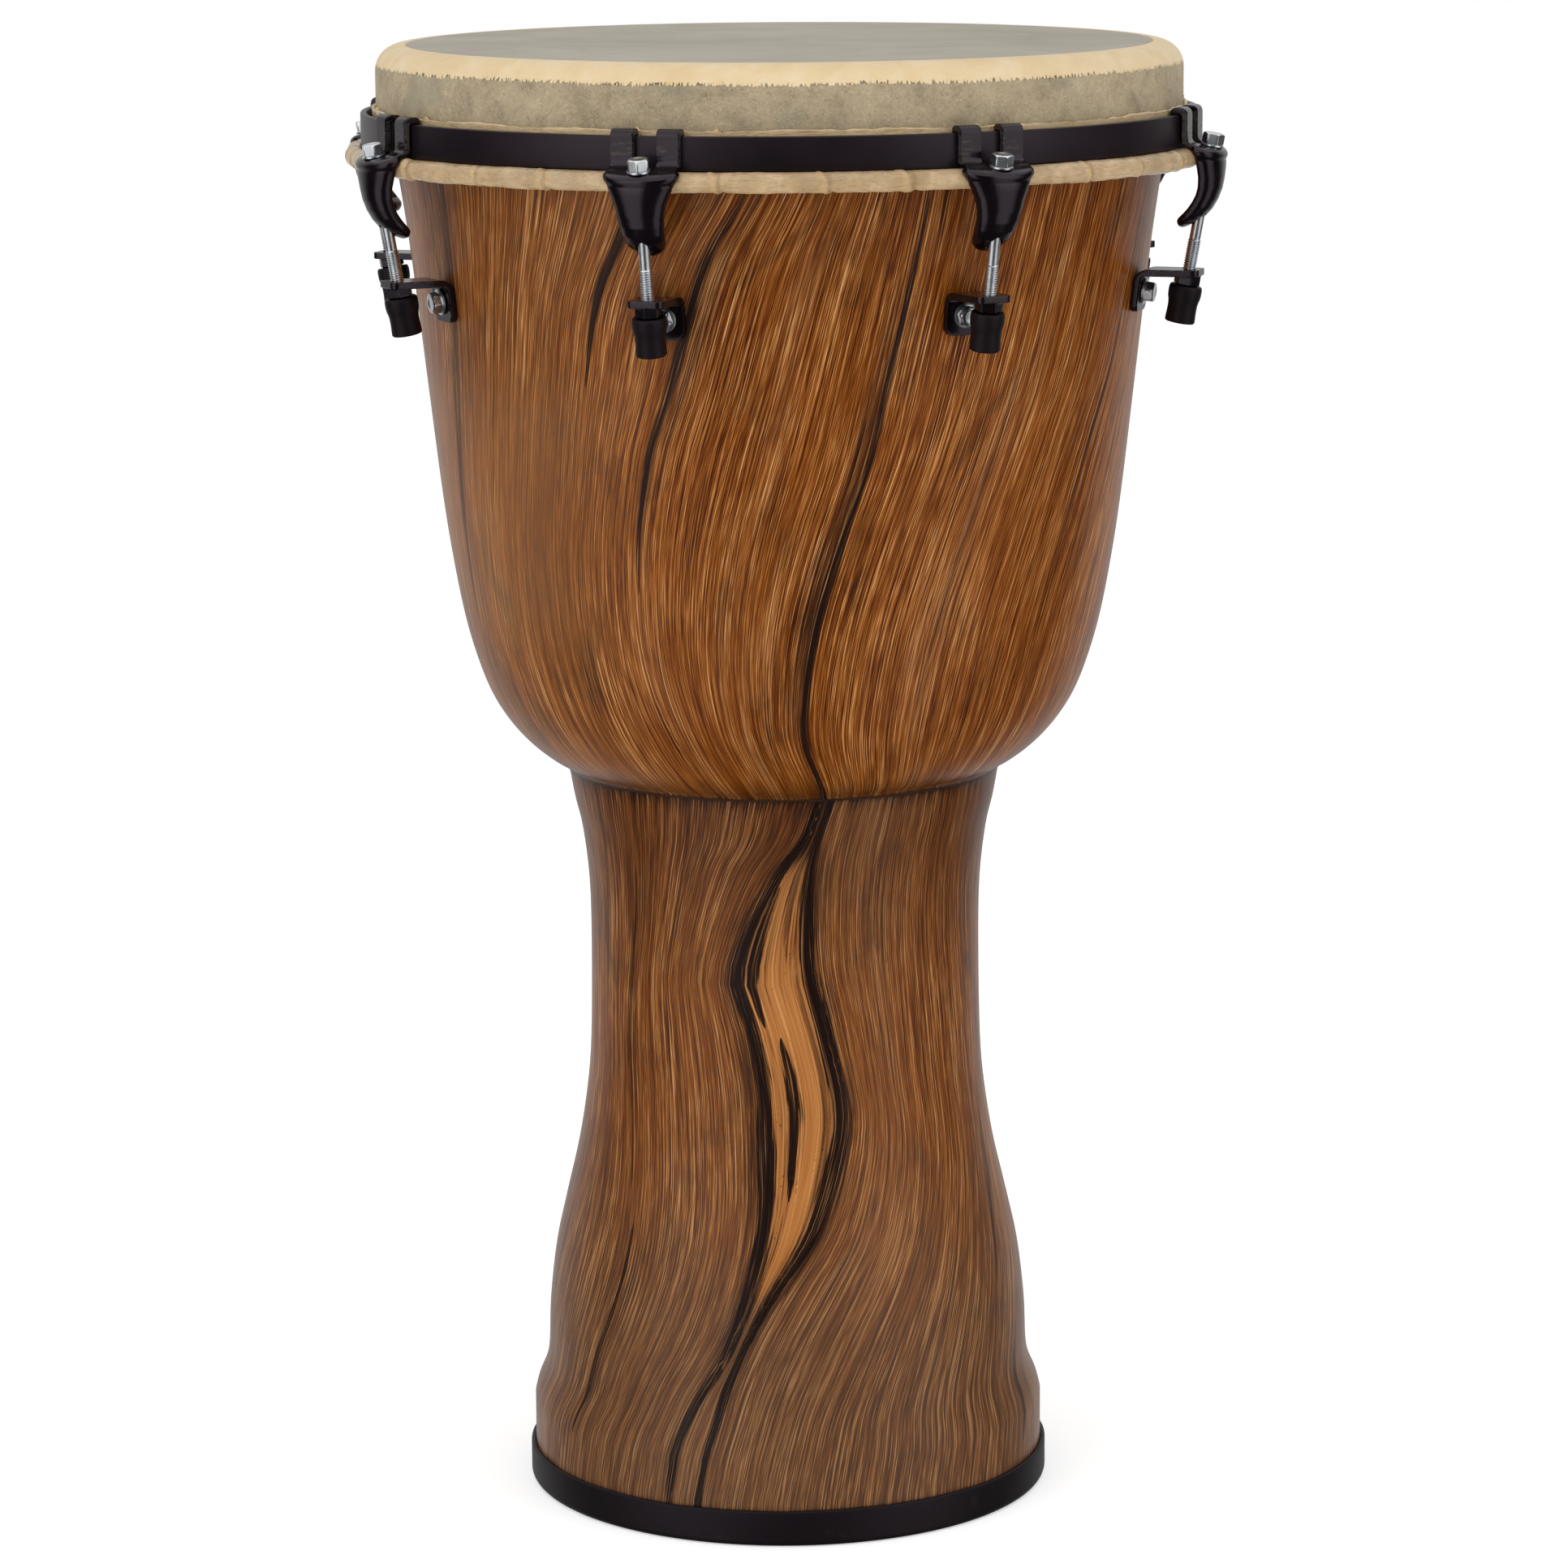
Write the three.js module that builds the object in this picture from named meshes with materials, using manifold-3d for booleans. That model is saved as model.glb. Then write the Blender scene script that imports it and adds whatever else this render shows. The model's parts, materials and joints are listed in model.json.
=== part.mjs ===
// A rope-free djembe with a moulded goblet shell, a natural skin head and eight top-turned tuning stations.
//
// Frame: millimetres, +Z up, origin on the drum's axis at floor level. "Radius" is measured from that axis.
// Angles round the drum are counted from -Y towards +X, so a station's local -Y points out of the drum.
//
// How it holds together: the skin lies over the shell's rounded rim and is wrapped round a steel flesh hoop.
// A flat counter hoop sits on the wrapped bead. Each claw hooks two straps over the counter hoop, and a long
// bolt through the claw screws into a nut welded under a bracket on the shell, which pulls the hoop down.

import * as THREE from "three";
import { mergeVertices } from "three/addons/utils/BufferGeometryUtils.js";
import Module from "manifold-3d";

const wasm = await Module();
wasm.setup();

// ---------------------------------------------------------------- driving dimensions

const HEIGHT = 648; // floor to playing surface
const GAP = 0.3; // daylight kept between neighbouring pieces
const RING_SEGMENTS = 48; // facets round the large turned pieces
const FACET = (2 * Math.PI) / RING_SEGMENTS;

const STATIONS = 8;
const STATION_STEP = (2 * Math.PI) / STATIONS;
const FIRST_STATION = THREE.MathUtils.degToRad(-22.5);

// Shell
const WALL = 6;
const FOOT_RADIUS = 115.1;
const WAIST_RADIUS = 87;
const CREASE_Z = 329; // where the bowl meets the stem
const CREASE_RADIUS = 96.5;
const SHELL_BOTTOM_Z = 3;

// Skin head
const SKIN = 1.1;
const RIM_RADIUS = 176.2; // outside of the skin's straight side
const RIM_ROUND = 11; // outside radius of the skin's bend over the rim
const SKIRT_BOTTOM_Z = 612;

// Hoops
const BEAD_RADIUS = 185.4; // flesh hoop's centre line
const BEAD_Z = 600.8;
const BEAD_ROUND = 4.5; // outside radius of the wrapped bead
const FLESH_ROD = 2.9; // radius of the steel rod inside it
const FLAP_TOP_Z = 624;
const BAND_OUTER = 183;
const BAND_INNER = 180.2;
const BAND_BOTTOM_Z = 604.9;
const BAND_TOP_Z = 619.3;

// Tuning stations: the tension bolt leans outwards as it rises
const LEAN = THREE.MathUtils.degToRad(10.3);
const SHELF_TOP_Z = 552.5;
const BOLT_RADIUS_AT_SHELF = 183.9; // drum radius where the bolt's axis crosses the shelf's top
const SHANK = 2.45; // radius of the tension bolt's plain shank, thinner than its rolled thread
const THREAD = 2.85; // outside radius of the M6 thread
const THREAD_ROOM = 0.3; // round the thread in every hole that it passes
const HEAD_FLATS = 8;
const HEAD_HEIGHT = 4.6;
const WASHER_OUTER = 5.2;
const WASHER_THICK = 1;
const CLAW_SEAT_Z = 605.2; // height of the claw's top face on the bolt's axis
const PLAIN_SHANK_END_Z = 565.5; // thread starts below this
const BOLT_END_Z = 537;
const CLAW_HOLE = 3.4; // loose, because the hoop moves straight down and the bolt leans

// Bracket
const SHELF = 3; // steel thickness
const SHELF_END_RADIUS = 189.4;
const BRACKET_WIDTH = 17.5;
const SHELF_TIP_WIDTH = 15.7;
const PLATE_BOTTOM_Z = 534;
const LUG_BOLT_Z = 543;

// Nut under the shelf, and the rubber cap on its collar
const NUT_FLATS = 10;
const NUT_BOTTOM_Z = 545.9; // on the bolt's axis
const COLLAR_RADIUS = 4.3;
const COLLAR_LENGTH = 3;
const CAP_BOTTOM_Z = 529.4;
const CAP_LENGTH = 16.4;

// ---------------------------------------------------------------- helpers

const point = (x, y) => new THREE.Vector2(x, y);

// Drum radius of a tension bolt's axis at height z.
const boltRadiusAt = (z) => BOLT_RADIUS_AT_SHELF + (z - SHELF_TOP_Z) * Math.tan(LEAN);

// Points on an arc round (cx, cy), angles in degrees.
function arc(cx, cy, radius, fromDeg, toDeg, steps) {
  return Array.from({ length: steps + 1 }, (_, i) => {
    const a = THREE.MathUtils.degToRad(fromDeg + ((toDeg - fromDeg) * i) / steps);
    return point(cx + radius * Math.cos(a), cy + radius * Math.sin(a));
  });
}

// A closed (radius, height) outline turned round the Z axis.
function turned(outline, segments = RING_SEGMENTS, start = FACET / 2) {
  const closed = outline[0].x === 0 ? outline : [...outline, outline[0]];
  const ordered = THREE.ShapeUtils.area(outline) > 0 ? closed : [...closed].reverse();
  return new THREE.LatheGeometry(ordered, segments, start).rotateX(Math.PI / 2);
}

// A (radius, height) outline extruded across a station, centred on it.
function acrossStation(outline, width) {
  const geometry = new THREE.ExtrudeGeometry(new THREE.Shape(outline), {
    depth: width,
    bevelEnabled: false,
    curveSegments: 6,
  });
  const basis = new THREE.Matrix4().makeBasis(
    new THREE.Vector3(0, -1, 0),
    new THREE.Vector3(0, 0, 1),
    new THREE.Vector3(-1, 0, 0),
  );
  return geometry.applyMatrix4(basis).translate(width / 2, 0, 0);
}

// A (tangent, height) outline extruded outwards between two drum radii.
function outOfStation(outline, fromRadius, toRadius) {
  const geometry = new THREE.ExtrudeGeometry(new THREE.Shape(outline), {
    depth: toRadius - fromRadius,
    bevelEnabled: false,
    curveSegments: 4,
  });
  const basis = new THREE.Matrix4().makeBasis(
    new THREE.Vector3(1, 0, 0),
    new THREE.Vector3(0, 0, 1),
    new THREE.Vector3(0, -1, 0),
  );
  return geometry.applyMatrix4(basis).translate(0, -fromRadius, 0);
}

// A piece turned or prismatic about a leaning line: built along +Y, with y = 0 at the given place.
function alongLine(geometry, radius, z, leanFromUp) {
  return geometry
    .rotateX(Math.PI / 2)
    .rotateX(leanFromUp)
    .translate(0, -radius, z);
}

// A piece on the tension bolt's axis, with y = 0 at height z.
const onBoltAxis = (geometry, z) => alongLine(geometry, boltRadiusAt(z), z, LEAN);

// A straight round bar on the tension bolt's axis between two heights.
function boltAxisBar(radius, fromZ, toZ, sides) {
  const length = (toZ - fromZ) / Math.cos(LEAN);
  const bar = new THREE.CylinderGeometry(radius, radius, length, sides).translate(0, length / 2, 0);
  return onBoltAxis(bar, fromZ);
}

// A rounded rectangle with its own corner radii at the bottom and top.
function roundedOutline(bottomWidth, topWidth, fromZ, toZ, bottomRound) {
  const b = bottomWidth / 2;
  const t = topWidth / 2;
  return [
    ...arc(b - bottomRound, fromZ + bottomRound, bottomRound, -90, 0, 3),
    point(t, toZ),
    point(-t, toZ),
    ...arc(-b + bottomRound, fromZ + bottomRound, bottomRound, 180, 270, 3),
  ];
}

function solid(geometry) {
  const bare = geometry.clone();
  bare.deleteAttribute("normal");
  bare.deleteAttribute("uv");
  const merged = mergeVertices(bare, 1e-4);
  return new wasm.Manifold(
    new wasm.Mesh({
      numProp: 3,
      vertProperties: merged.attributes.position.array,
      triVerts: new Uint32Array(merged.index.array),
    }),
  );
}

const joined = (...geometries) => geometries.map(solid).reduce((a, b) => a.add(b));

function surface(manifold) {
  const mesh = manifold.getMesh();
  const geometry = new THREE.BufferGeometry();
  geometry.setAttribute("position", new THREE.BufferAttribute(mesh.vertProperties, 3));
  geometry.setIndex(new THREE.BufferAttribute(mesh.triVerts, 1));
  return geometry;
}

// ---------------------------------------------------------------- materials

const finish = (color, roughness, metalness) =>
  new THREE.MeshStandardMaterial({ color, roughness, metalness });

const MATERIALS = {
  shell: finish(0x7a4a22, 0.45, 0),
  rubber: finish(0x17151a, 0.6, 0),
  skin: finish(0xd8c08c, 0.6, 0),
  black: finish(0x17141a, 0.4, 0.3),
  zinc: finish(0xc4c6c8, 0.3, 0.9),
};

function piece(name, geometry, material) {
  const mesh = new THREE.Mesh(geometry, material);
  mesh.name = name;
  return mesh;
}

// ---------------------------------------------------------------- shell

// Outside of the shell, floor to rim, as (radius, height).
const STEM = [
  [FOOT_RADIUS, 38],
  [113.4, 44.5],
  [109.6, 53],
  [108.3, 62],
  [107.6, 82],
  [104.5, 108],
  [99.2, 132],
  [93.6, 156],
  [89.5, 181],
  [87.7, 204],
  [WAIST_RADIUS, 245],
  [87.5, 276],
  [90.2, 300],
  [93.6, 315],
  [CREASE_RADIUS, CREASE_Z],
].map(([r, z]) => point(r, z));

const BOWL = [
  [CREASE_RADIUS, CREASE_Z],
  [105, 334.2],
  [114, 341.6],
  [122.4, 351],
  [129.6, 362.5],
  [135.4, 377],
  [140.8, 396],
  [145.6, 421],
  [150, 451],
  [155.4, 498],
  [162.3, 559],
  [168.6, 602],
  [172.6, 624],
  [174.2, 636],
].map(([r, z]) => point(r, z));

const SHELL_RIM_ROUND = RIM_ROUND - SKIN - 0.4;
const RIM_CENTRE_RADIUS = RIM_RADIUS - RIM_ROUND;
const RIM_CENTRE_Z = HEIGHT - RIM_ROUND;

// The shell's outside radius at a height on the straight upper bowl.
function bowlRadiusAt(z) {
  const i = BOWL.findIndex((p) => p.y >= z);
  const a = BOWL[i - 1];
  const b = BOWL[i];
  return a.x + ((b.x - a.x) * (z - a.y)) / (b.y - a.y);
}

// Angle of the bowl's wall from upright at the brackets.
const WALL_LEAN = Math.atan2(bowlRadiusAt(555) - bowlRadiusAt(531), 24);

function lugBoltHole(radius) {
  const length = 40;
  const bar = new THREE.CylinderGeometry(radius, radius, length, 12);
  return alongLine(bar, bowlRadiusAt(LUG_BOLT_Z), LUG_BOLT_Z, Math.PI / 2 + WALL_LEAN);
}

function makeShell() {
  const outside = [
    point(FOOT_RADIUS, SHELL_BOTTOM_Z),
    ...new THREE.SplineCurve(STEM).getSpacedPoints(10),
    ...new THREE.SplineCurve(BOWL).getSpacedPoints(10).slice(1),
    ...arc(RIM_CENTRE_RADIUS, RIM_CENTRE_Z, SHELL_RIM_ROUND, 20, 90, 4),
  ];
  const inside = [
    point(RIM_CENTRE_RADIUS - 2.2, RIM_CENTRE_Z + SHELL_RIM_ROUND - 2),
    point(RIM_CENTRE_RADIUS - 1, 618),
    point(bowlRadiusAt(559) - WALL, 559),
    point(155.4 - WALL, 498),
    point(145.6 - WALL, 421),
    point(135.4 - WALL, 381),
    point(122.4 - WALL, 358),
    point(105, 343.5),
    point(CREASE_RADIUS - WALL, 334),
    point(90.2 - WALL, 304),
    point(WAIST_RADIUS - WALL, 245),
    point(89.5 - WALL, 181),
    point(99.2 - WALL, 129),
    point(107.6 - WALL, 78),
    point(108.3 - WALL, 50),
    point(FOOT_RADIUS - WALL, 36),
    point(FOOT_RADIUS - WALL, SHELL_BOTTOM_Z),
  ];
  let shell = solid(turned([...outside, ...inside]));
  for (let k = 0; k < STATIONS; k++) {
    const hole = lugBoltHole(3.3).rotateZ(FIRST_STATION + k * STATION_STEP);
    shell = shell.subtract(solid(hole));
  }
  return surface(shell);
}

// Rubber channel pressed over the shell's bottom edge.
function makeFootRing() {
  const top = 16.3;
  const outer = FOOT_RADIUS + 2.2;
  const inner = FOOT_RADIUS - WALL;
  return turned([
    point(inner - 2.4, 1.2),
    point(inner - 1.2, 0),
    point(outer - 3.2, 0),
    ...arc(outer - 3, 3, 3, -60, 0, 2),
    point(outer, top - 2),
    point(outer - 0.8, top),
    point(FOOT_RADIUS + GAP, top),
    point(FOOT_RADIUS + GAP, SHELL_BOTTOM_Z - GAP),
    point(inner - GAP, SHELL_BOTTOM_Z - GAP),
    point(inner - GAP, 12),
    point(inner - 2.4, 12),
  ]);
}

// ---------------------------------------------------------------- skin and hoops

// Playing surface, bend over the rim and the inner skirt: the part of the skin that stays on the shell.
function makeDrumhead() {
  const inner = RIM_ROUND - SKIN;
  return turned([
    point(0, HEIGHT - SKIN),
    ...arc(RIM_CENTRE_RADIUS, RIM_CENTRE_Z, inner, 90, 0, 4),
    point(RIM_RADIUS - SKIN, SKIRT_BOTTOM_Z),
    point(RIM_RADIUS, SKIRT_BOTTOM_Z),
    ...arc(RIM_CENTRE_RADIUS, RIM_CENTRE_Z, RIM_ROUND, 0, 90, 4),
    point(0, HEIGHT),
  ]);
}

// The skin's lower edge: a trimmed flap inside the counter hoop, then the wrap under, round and over the flesh hoop.
function makeSkinWrap() {
  const half = 0.65;
  const flap = RIM_RADIUS + 0.4 + half;
  const mid = BEAD_ROUND - half;
  const outerWrap = arc(BEAD_RADIUS, BEAD_Z, mid + half, -135, 145, 6);
  const innerWrap = arc(BEAD_RADIUS, BEAD_Z, mid - half, 145, -135, 6);
  return turned([
    point(flap - half, FLAP_TOP_Z),
    point(flap - half, BEAD_Z + 2),
    ...outerWrap,
    ...innerWrap,
    point(flap + half, BEAD_Z + 3),
    point(flap + half, FLAP_TOP_Z),
  ]);
}

function makeFleshHoop() {
  return turned(arc(BEAD_RADIUS, BEAD_Z, FLESH_ROD, 0, 360, 6).slice(0, -1));
}

function makeCounterHoop(clearance = 0) {
  return turned(
    [
      point(BAND_INNER - clearance, BAND_BOTTOM_Z - clearance),
      point(BAND_OUTER + clearance, BAND_BOTTOM_Z - clearance),
      point(BAND_OUTER + clearance, BAND_TOP_Z + clearance),
      point(BAND_INNER - clearance, BAND_TOP_Z + clearance),
    ],
    2 * RING_SEGMENTS,
    0,
  );
}

// ---------------------------------------------------------------- claw

const STRAP = 1.9; // thickness
const STRAP_WIDTH = 9.3;
const STRAP_PAIR_WIDTH = 28;
const CLAW_TOP_WIDTH = 30;
const CLAW_TIP_WIDTH = 13.5;
const CLAW_OUTER_RADIUS = 200.3;
const CLAW_WALL = 2.2;

// Side view of the claw's horn, from the seat round the outside to the inward-pointing tip and back.
const HORN = [
  [187.4, 606.3],
  [CLAW_OUTER_RADIUS - 1.8, 604.25],
  [CLAW_OUTER_RADIUS, 602],
  [199.9, 595],
  [198.3, 587.2],
  [194.6, 580.4],
  [190, 576],
  [184.8, 573],
  [181.4, 571.5],
  [180.2, 572.8],
  [182.6, 575.6],
  [186.5, 578.8],
  [189.2, 582.6],
  [190.7, 588],
  [191.3, 594],
  [191.3, 602],
  [187.4, 604.5],
].map(([r, z]) => point(r, z));

// Side view of the hollow inside the horn, which is open towards the drum.
const HORN_HOLLOW = [
  [184, 604.8],
  [CLAW_OUTER_RADIUS - 2.6, 602],
  [CLAW_OUTER_RADIUS - CLAW_WALL, 594],
  [196, 587.4],
  [192, 581.6],
  [189.4, 579.8],
  [184, 582],
].map(([r, z]) => point(r, z));

// Side view of the pair of straps: lip inside the band, over its top, down its face and out over the bead.
function strapOutline() {
  const face = BAND_OUTER + GAP;
  const lip = BAND_INNER - GAP;
  const over = BAND_TOP_Z + GAP;
  const lipThick = 1.5;
  return [
    point(lip - lipThick, over - 5),
    point(lip, over - 5),
    point(lip, over),
    point(face, over),
    point(face, 609.4),
    point(face + 1, 607),
    point(face + 3, 606.1),
    point(190.2, 604.5),
    point(190.6, 606.2),
    point(face + 4.4, 607.8),
    point(face + STRAP + 0.6, 609.2),
    point(face + STRAP, 611),
    point(face + STRAP, over + 0.6),
    point(face + STRAP - 1.2, over + STRAP),
    point(lip - lipThick + 1.1, over + STRAP),
    point(lip - lipThick, over + 0.7),
  ];
}

// A round taper that the horn is cut from: wide at the seat, narrow at the tip, stretched outwards.
function hornTaper(shrink) {
  const centreRadius = 188;
  const reach = CLAW_OUTER_RADIUS + 0.3 - centreRadius;
  const topHalf = CLAW_TOP_WIDTH / 2 - shrink;
  const tipHalf = CLAW_TIP_WIDTH / 2 - shrink;
  const taper = new THREE.LatheGeometry(
    [
      point(0, 566),
      point(tipHalf, 566),
      point(tipHalf, 574),
      point(tipHalf + 2.3, 583),
      point(topHalf - 2.2, 594),
      point(topHalf, 603),
      point(topHalf - 0.8, 608),
      point(0, 608),
    ],
    14,
  );
  return taper
    .rotateX(Math.PI / 2)
    .scale(1, (reach - shrink) / (CLAW_TOP_WIDTH / 2 - shrink - 1.4), 1)
    .translate(0, -centreRadius, 0);
}

function makeClaw() {
  const beadClearance = turned(arc(BEAD_RADIUS, BEAD_Z, BEAD_ROUND + 0.5, 0, 360, 12).slice(0, -1));
  const horn = solid(acrossStation(HORN, 2 * CLAW_TOP_WIDTH)).intersect(solid(hornTaper(0)));
  const hollow = solid(acrossStation(HORN_HOLLOW, 2 * CLAW_TOP_WIDTH)).intersect(
    solid(hornTaper(CLAW_WALL)),
  );
  const strapOffset = (STRAP_PAIR_WIDTH - STRAP_WIDTH) / 2;
  const straps = [-strapOffset, strapOffset].map((offset) =>
    solid(acrossStation(strapOutline(), STRAP_WIDTH).translate(offset, 0, 0)),
  );
  const claw = horn
    .subtract(hollow)
    .add(straps[0])
    .add(straps[1])
    .subtract(solid(beadClearance))
    .subtract(solid(makeCounterHoop(GAP)))
    .subtract(solid(boltAxisBar(CLAW_HOLE, 560, 615, 12)));
  return surface(claw);
}

// ---------------------------------------------------------------- tension bolt, washer and cap

const HEX_CORNER = 1 / Math.cos(Math.PI / 6); // corner radius of a hexagon over half its flats

function makeTensionBolt() {
  const seat = CLAW_SEAT_Z + (WASHER_THICK + GAP / 2) * Math.cos(LEAN);
  const corner = (HEAD_FLATS / 2) * HEX_CORNER;
  const head = new THREE.LatheGeometry(
    [
      point(0, 0),
      point(corner, 0),
      point(corner, HEAD_HEIGHT - 0.7),
      point(corner - 1, HEAD_HEIGHT),
      point(0, HEAD_HEIGHT),
    ],
    6,
  );
  const shank = boltAxisBar(SHANK, PLAIN_SHANK_END_Z - 1, seat + 1, 12);
  const thread = boltAxisBar(THREAD, BOLT_END_Z, PLAIN_SHANK_END_Z, 12);
  return surface(joined(onBoltAxis(head, seat), shank, thread));
}

function makeWasher() {
  const bore = THREAD + THREAD_ROOM;
  const outline = [
    point(bore, 0),
    point(WASHER_OUTER, 0),
    point(WASHER_OUTER, WASHER_THICK),
    point(bore, WASHER_THICK),
    point(bore, 0),
  ];
  const seat = CLAW_SEAT_Z + 0.1;
  return onBoltAxis(new THREE.LatheGeometry(outline, 12), seat);
}

// Rubber cap over the bolt's end: its wide mouth is pushed on the nut's collar, its blind end is narrower.
function makeCap() {
  const wide = 7;
  const narrow = 6.3;
  const bore = THREAD + THREAD_ROOM;
  const mouth = COLLAR_RADIUS + GAP;
  const outline = [
    point(0, 0),
    point(narrow - 0.5, 0),
    point(narrow, 0.6),
    point(narrow, 8.6),
    point(wide, 11),
    point(wide, CAP_LENGTH),
    point(mouth, CAP_LENGTH),
    point(mouth, CAP_LENGTH - COLLAR_LENGTH - GAP),
    point(bore, CAP_LENGTH - COLLAR_LENGTH - GAP),
    point(bore, 1.8),
    point(0, 1.8),
  ];
  return onBoltAxis(new THREE.LatheGeometry(outline, 12), CAP_BOTTOM_Z);
}

// ---------------------------------------------------------------- bracket and its bolt

const plateRadiusAt = (z) => bowlRadiusAt(z) + GAP;

// L of strip steel, flat against the shell's wall, with a level shelf.
function makeBracket() {
  const t = SHELF;
  const bend = 4.5;
  const top = SHELF_TOP_Z;
  const lean = Math.tan(WALL_LEAN);
  const back = plateRadiusAt(LUG_BOLT_Z);
  const backAt = (z) => back + (z - LUG_BOLT_Z) * lean;
  const side = [
    point(backAt(PLATE_BOTTOM_Z), PLATE_BOTTOM_Z),
    point(backAt(PLATE_BOTTOM_Z) + t, PLATE_BOTTOM_Z),
    point(backAt(top - bend) + t, top - bend),
    ...arc(backAt(top - t) + t + 1.6, top - t - 1.6, 1.6, 180, 90, 2).slice(1),
    point(SHELF_END_RADIUS, top - t),
    point(SHELF_END_RADIUS, top),
    ...arc(backAt(top - bend) + bend, top - bend, bend, 90, 180, 4),
  ];
  const front = roundedOutline(BRACKET_WIDTH, BRACKET_WIDTH, PLATE_BOTTOM_Z, top + 1, 3);
  const halfTip = SHELF_TIP_WIDTH / 2;
  const halfRoot = BRACKET_WIDTH / 2;
  const plan = new THREE.Shape([
    point(-halfRoot, -150),
    point(-halfRoot, -172),
    ...arc(-halfTip + 2.5, -SHELF_END_RADIUS + 2.5, 2.5, 180, 270, 3),
    ...arc(halfTip - 2.5, -SHELF_END_RADIUS + 2.5, 2.5, 270, 360, 3),
    point(halfRoot, -172),
    point(halfRoot, -150),
  ]);
  const planBlock = new THREE.ExtrudeGeometry(plan, { depth: 40, bevelEnabled: false });
  planBlock.translate(0, 0, top - 35);
  const nutCorner = (NUT_FLATS / 2) * HEX_CORNER;
  const nut = new THREE.CylinderGeometry(nutCorner, nutCorner, 4.2, 6).translate(0, 2.1, 0);
  const bracket = solid(acrossStation(side, BRACKET_WIDTH))
    .intersect(solid(outOfStation(front, 150, 200)))
    .intersect(solid(planBlock))
    .add(solid(onBoltAxis(nut, NUT_BOTTOM_Z)))
    .add(solid(boltAxisBar(COLLAR_RADIUS, NUT_BOTTOM_Z - COLLAR_LENGTH, NUT_BOTTOM_Z + 1, 12)))
    .subtract(solid(boltAxisBar(THREAD + THREAD_ROOM, 535, 560, 12)))
    .subtract(solid(lugBoltHole(3.2)));
  return surface(bracket);
}

// Flanged hex bolt through the plate and the shell's wall, with its inside washer and nut run tight on it.
function makeLugBolt() {
  const plateFace = SHELF + 2 * GAP; // outwards from the shell's surface
  const wallInside = -WALL - 1.2; // clear of the curved inner wall
  const corner = (HEAD_FLATS / 2) * HEX_CORNER;
  const outwards = (geometry) =>
    alongLine(geometry, bowlRadiusAt(LUG_BOLT_Z), LUG_BOLT_Z, Math.PI / 2 + WALL_LEAN);
  const nutCorner = (NUT_FLATS / 2) * HEX_CORNER;
  const bar = (radius, from, to, sides) =>
    outwards(
      new THREE.CylinderGeometry(radius, radius, to - from, sides).translate(0, (from + to) / 2, 0),
    );
  return surface(
    joined(
      bar(2.9, wallInside - 6, plateFace + 1, 8),
      bar(5.4, plateFace, plateFace + 1.1, 12),
      bar(corner, plateFace + 1, plateFace + 4.8, 6),
      bar(6, wallInside - 1.2, wallInside, 12),
      bar(nutCorner, wallInside - 5.2, wallInside - 1, 6),
    ),
  );
}

// ---------------------------------------------------------------- assembly

const djembe = new THREE.Group();

djembe.add(
  piece("shell", makeShell(), MATERIALS.shell),
  piece("foot_ring", makeFootRing(), MATERIALS.rubber),
  piece("drumhead_skin", makeDrumhead(), MATERIALS.skin),
  piece("skin_wrap", makeSkinWrap(), MATERIALS.skin),
  piece("flesh_hoop", makeFleshHoop(), MATERIALS.zinc),
  piece("counter_hoop", makeCounterHoop(), MATERIALS.black),
);

const STATION_PIECES = [
  ["claw", makeClaw(), MATERIALS.black],
  ["tension_bolt", makeTensionBolt(), MATERIALS.zinc],
  ["washer", makeWasher(), MATERIALS.zinc],
  ["bolt_cap", makeCap(), MATERIALS.rubber],
  ["lug_bracket", makeBracket(), MATERIALS.black],
  ["lug_bolt", makeLugBolt(), MATERIALS.zinc],
];

for (let k = 0; k < STATIONS; k++) {
  const station = new THREE.Group();
  station.rotation.z = FIRST_STATION + k * STATION_STEP;
  for (const [name, geometry, material] of STATION_PIECES) {
    station.add(piece(`${name}_${k + 1}`, geometry, material));
  }
  djembe.add(station);
}

export default djembe;
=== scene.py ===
"""Looks of the djembe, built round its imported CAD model.

Metres, +Z up, the drum's axis on Z and its foot on the floor. "Radius" is measured from that axis,
and angles round the drum are counted from -Y towards +X. A station is one tuning set: claw, bolt,
washer, cap, bracket and the bracket's own bolt. Station pieces are built as if their station faced -Y,
and each copy is then turned into place.
"""

import json
import math
import random

import bmesh
import bpy
import numpy as np
from mathutils import Matrix, Vector

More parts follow.
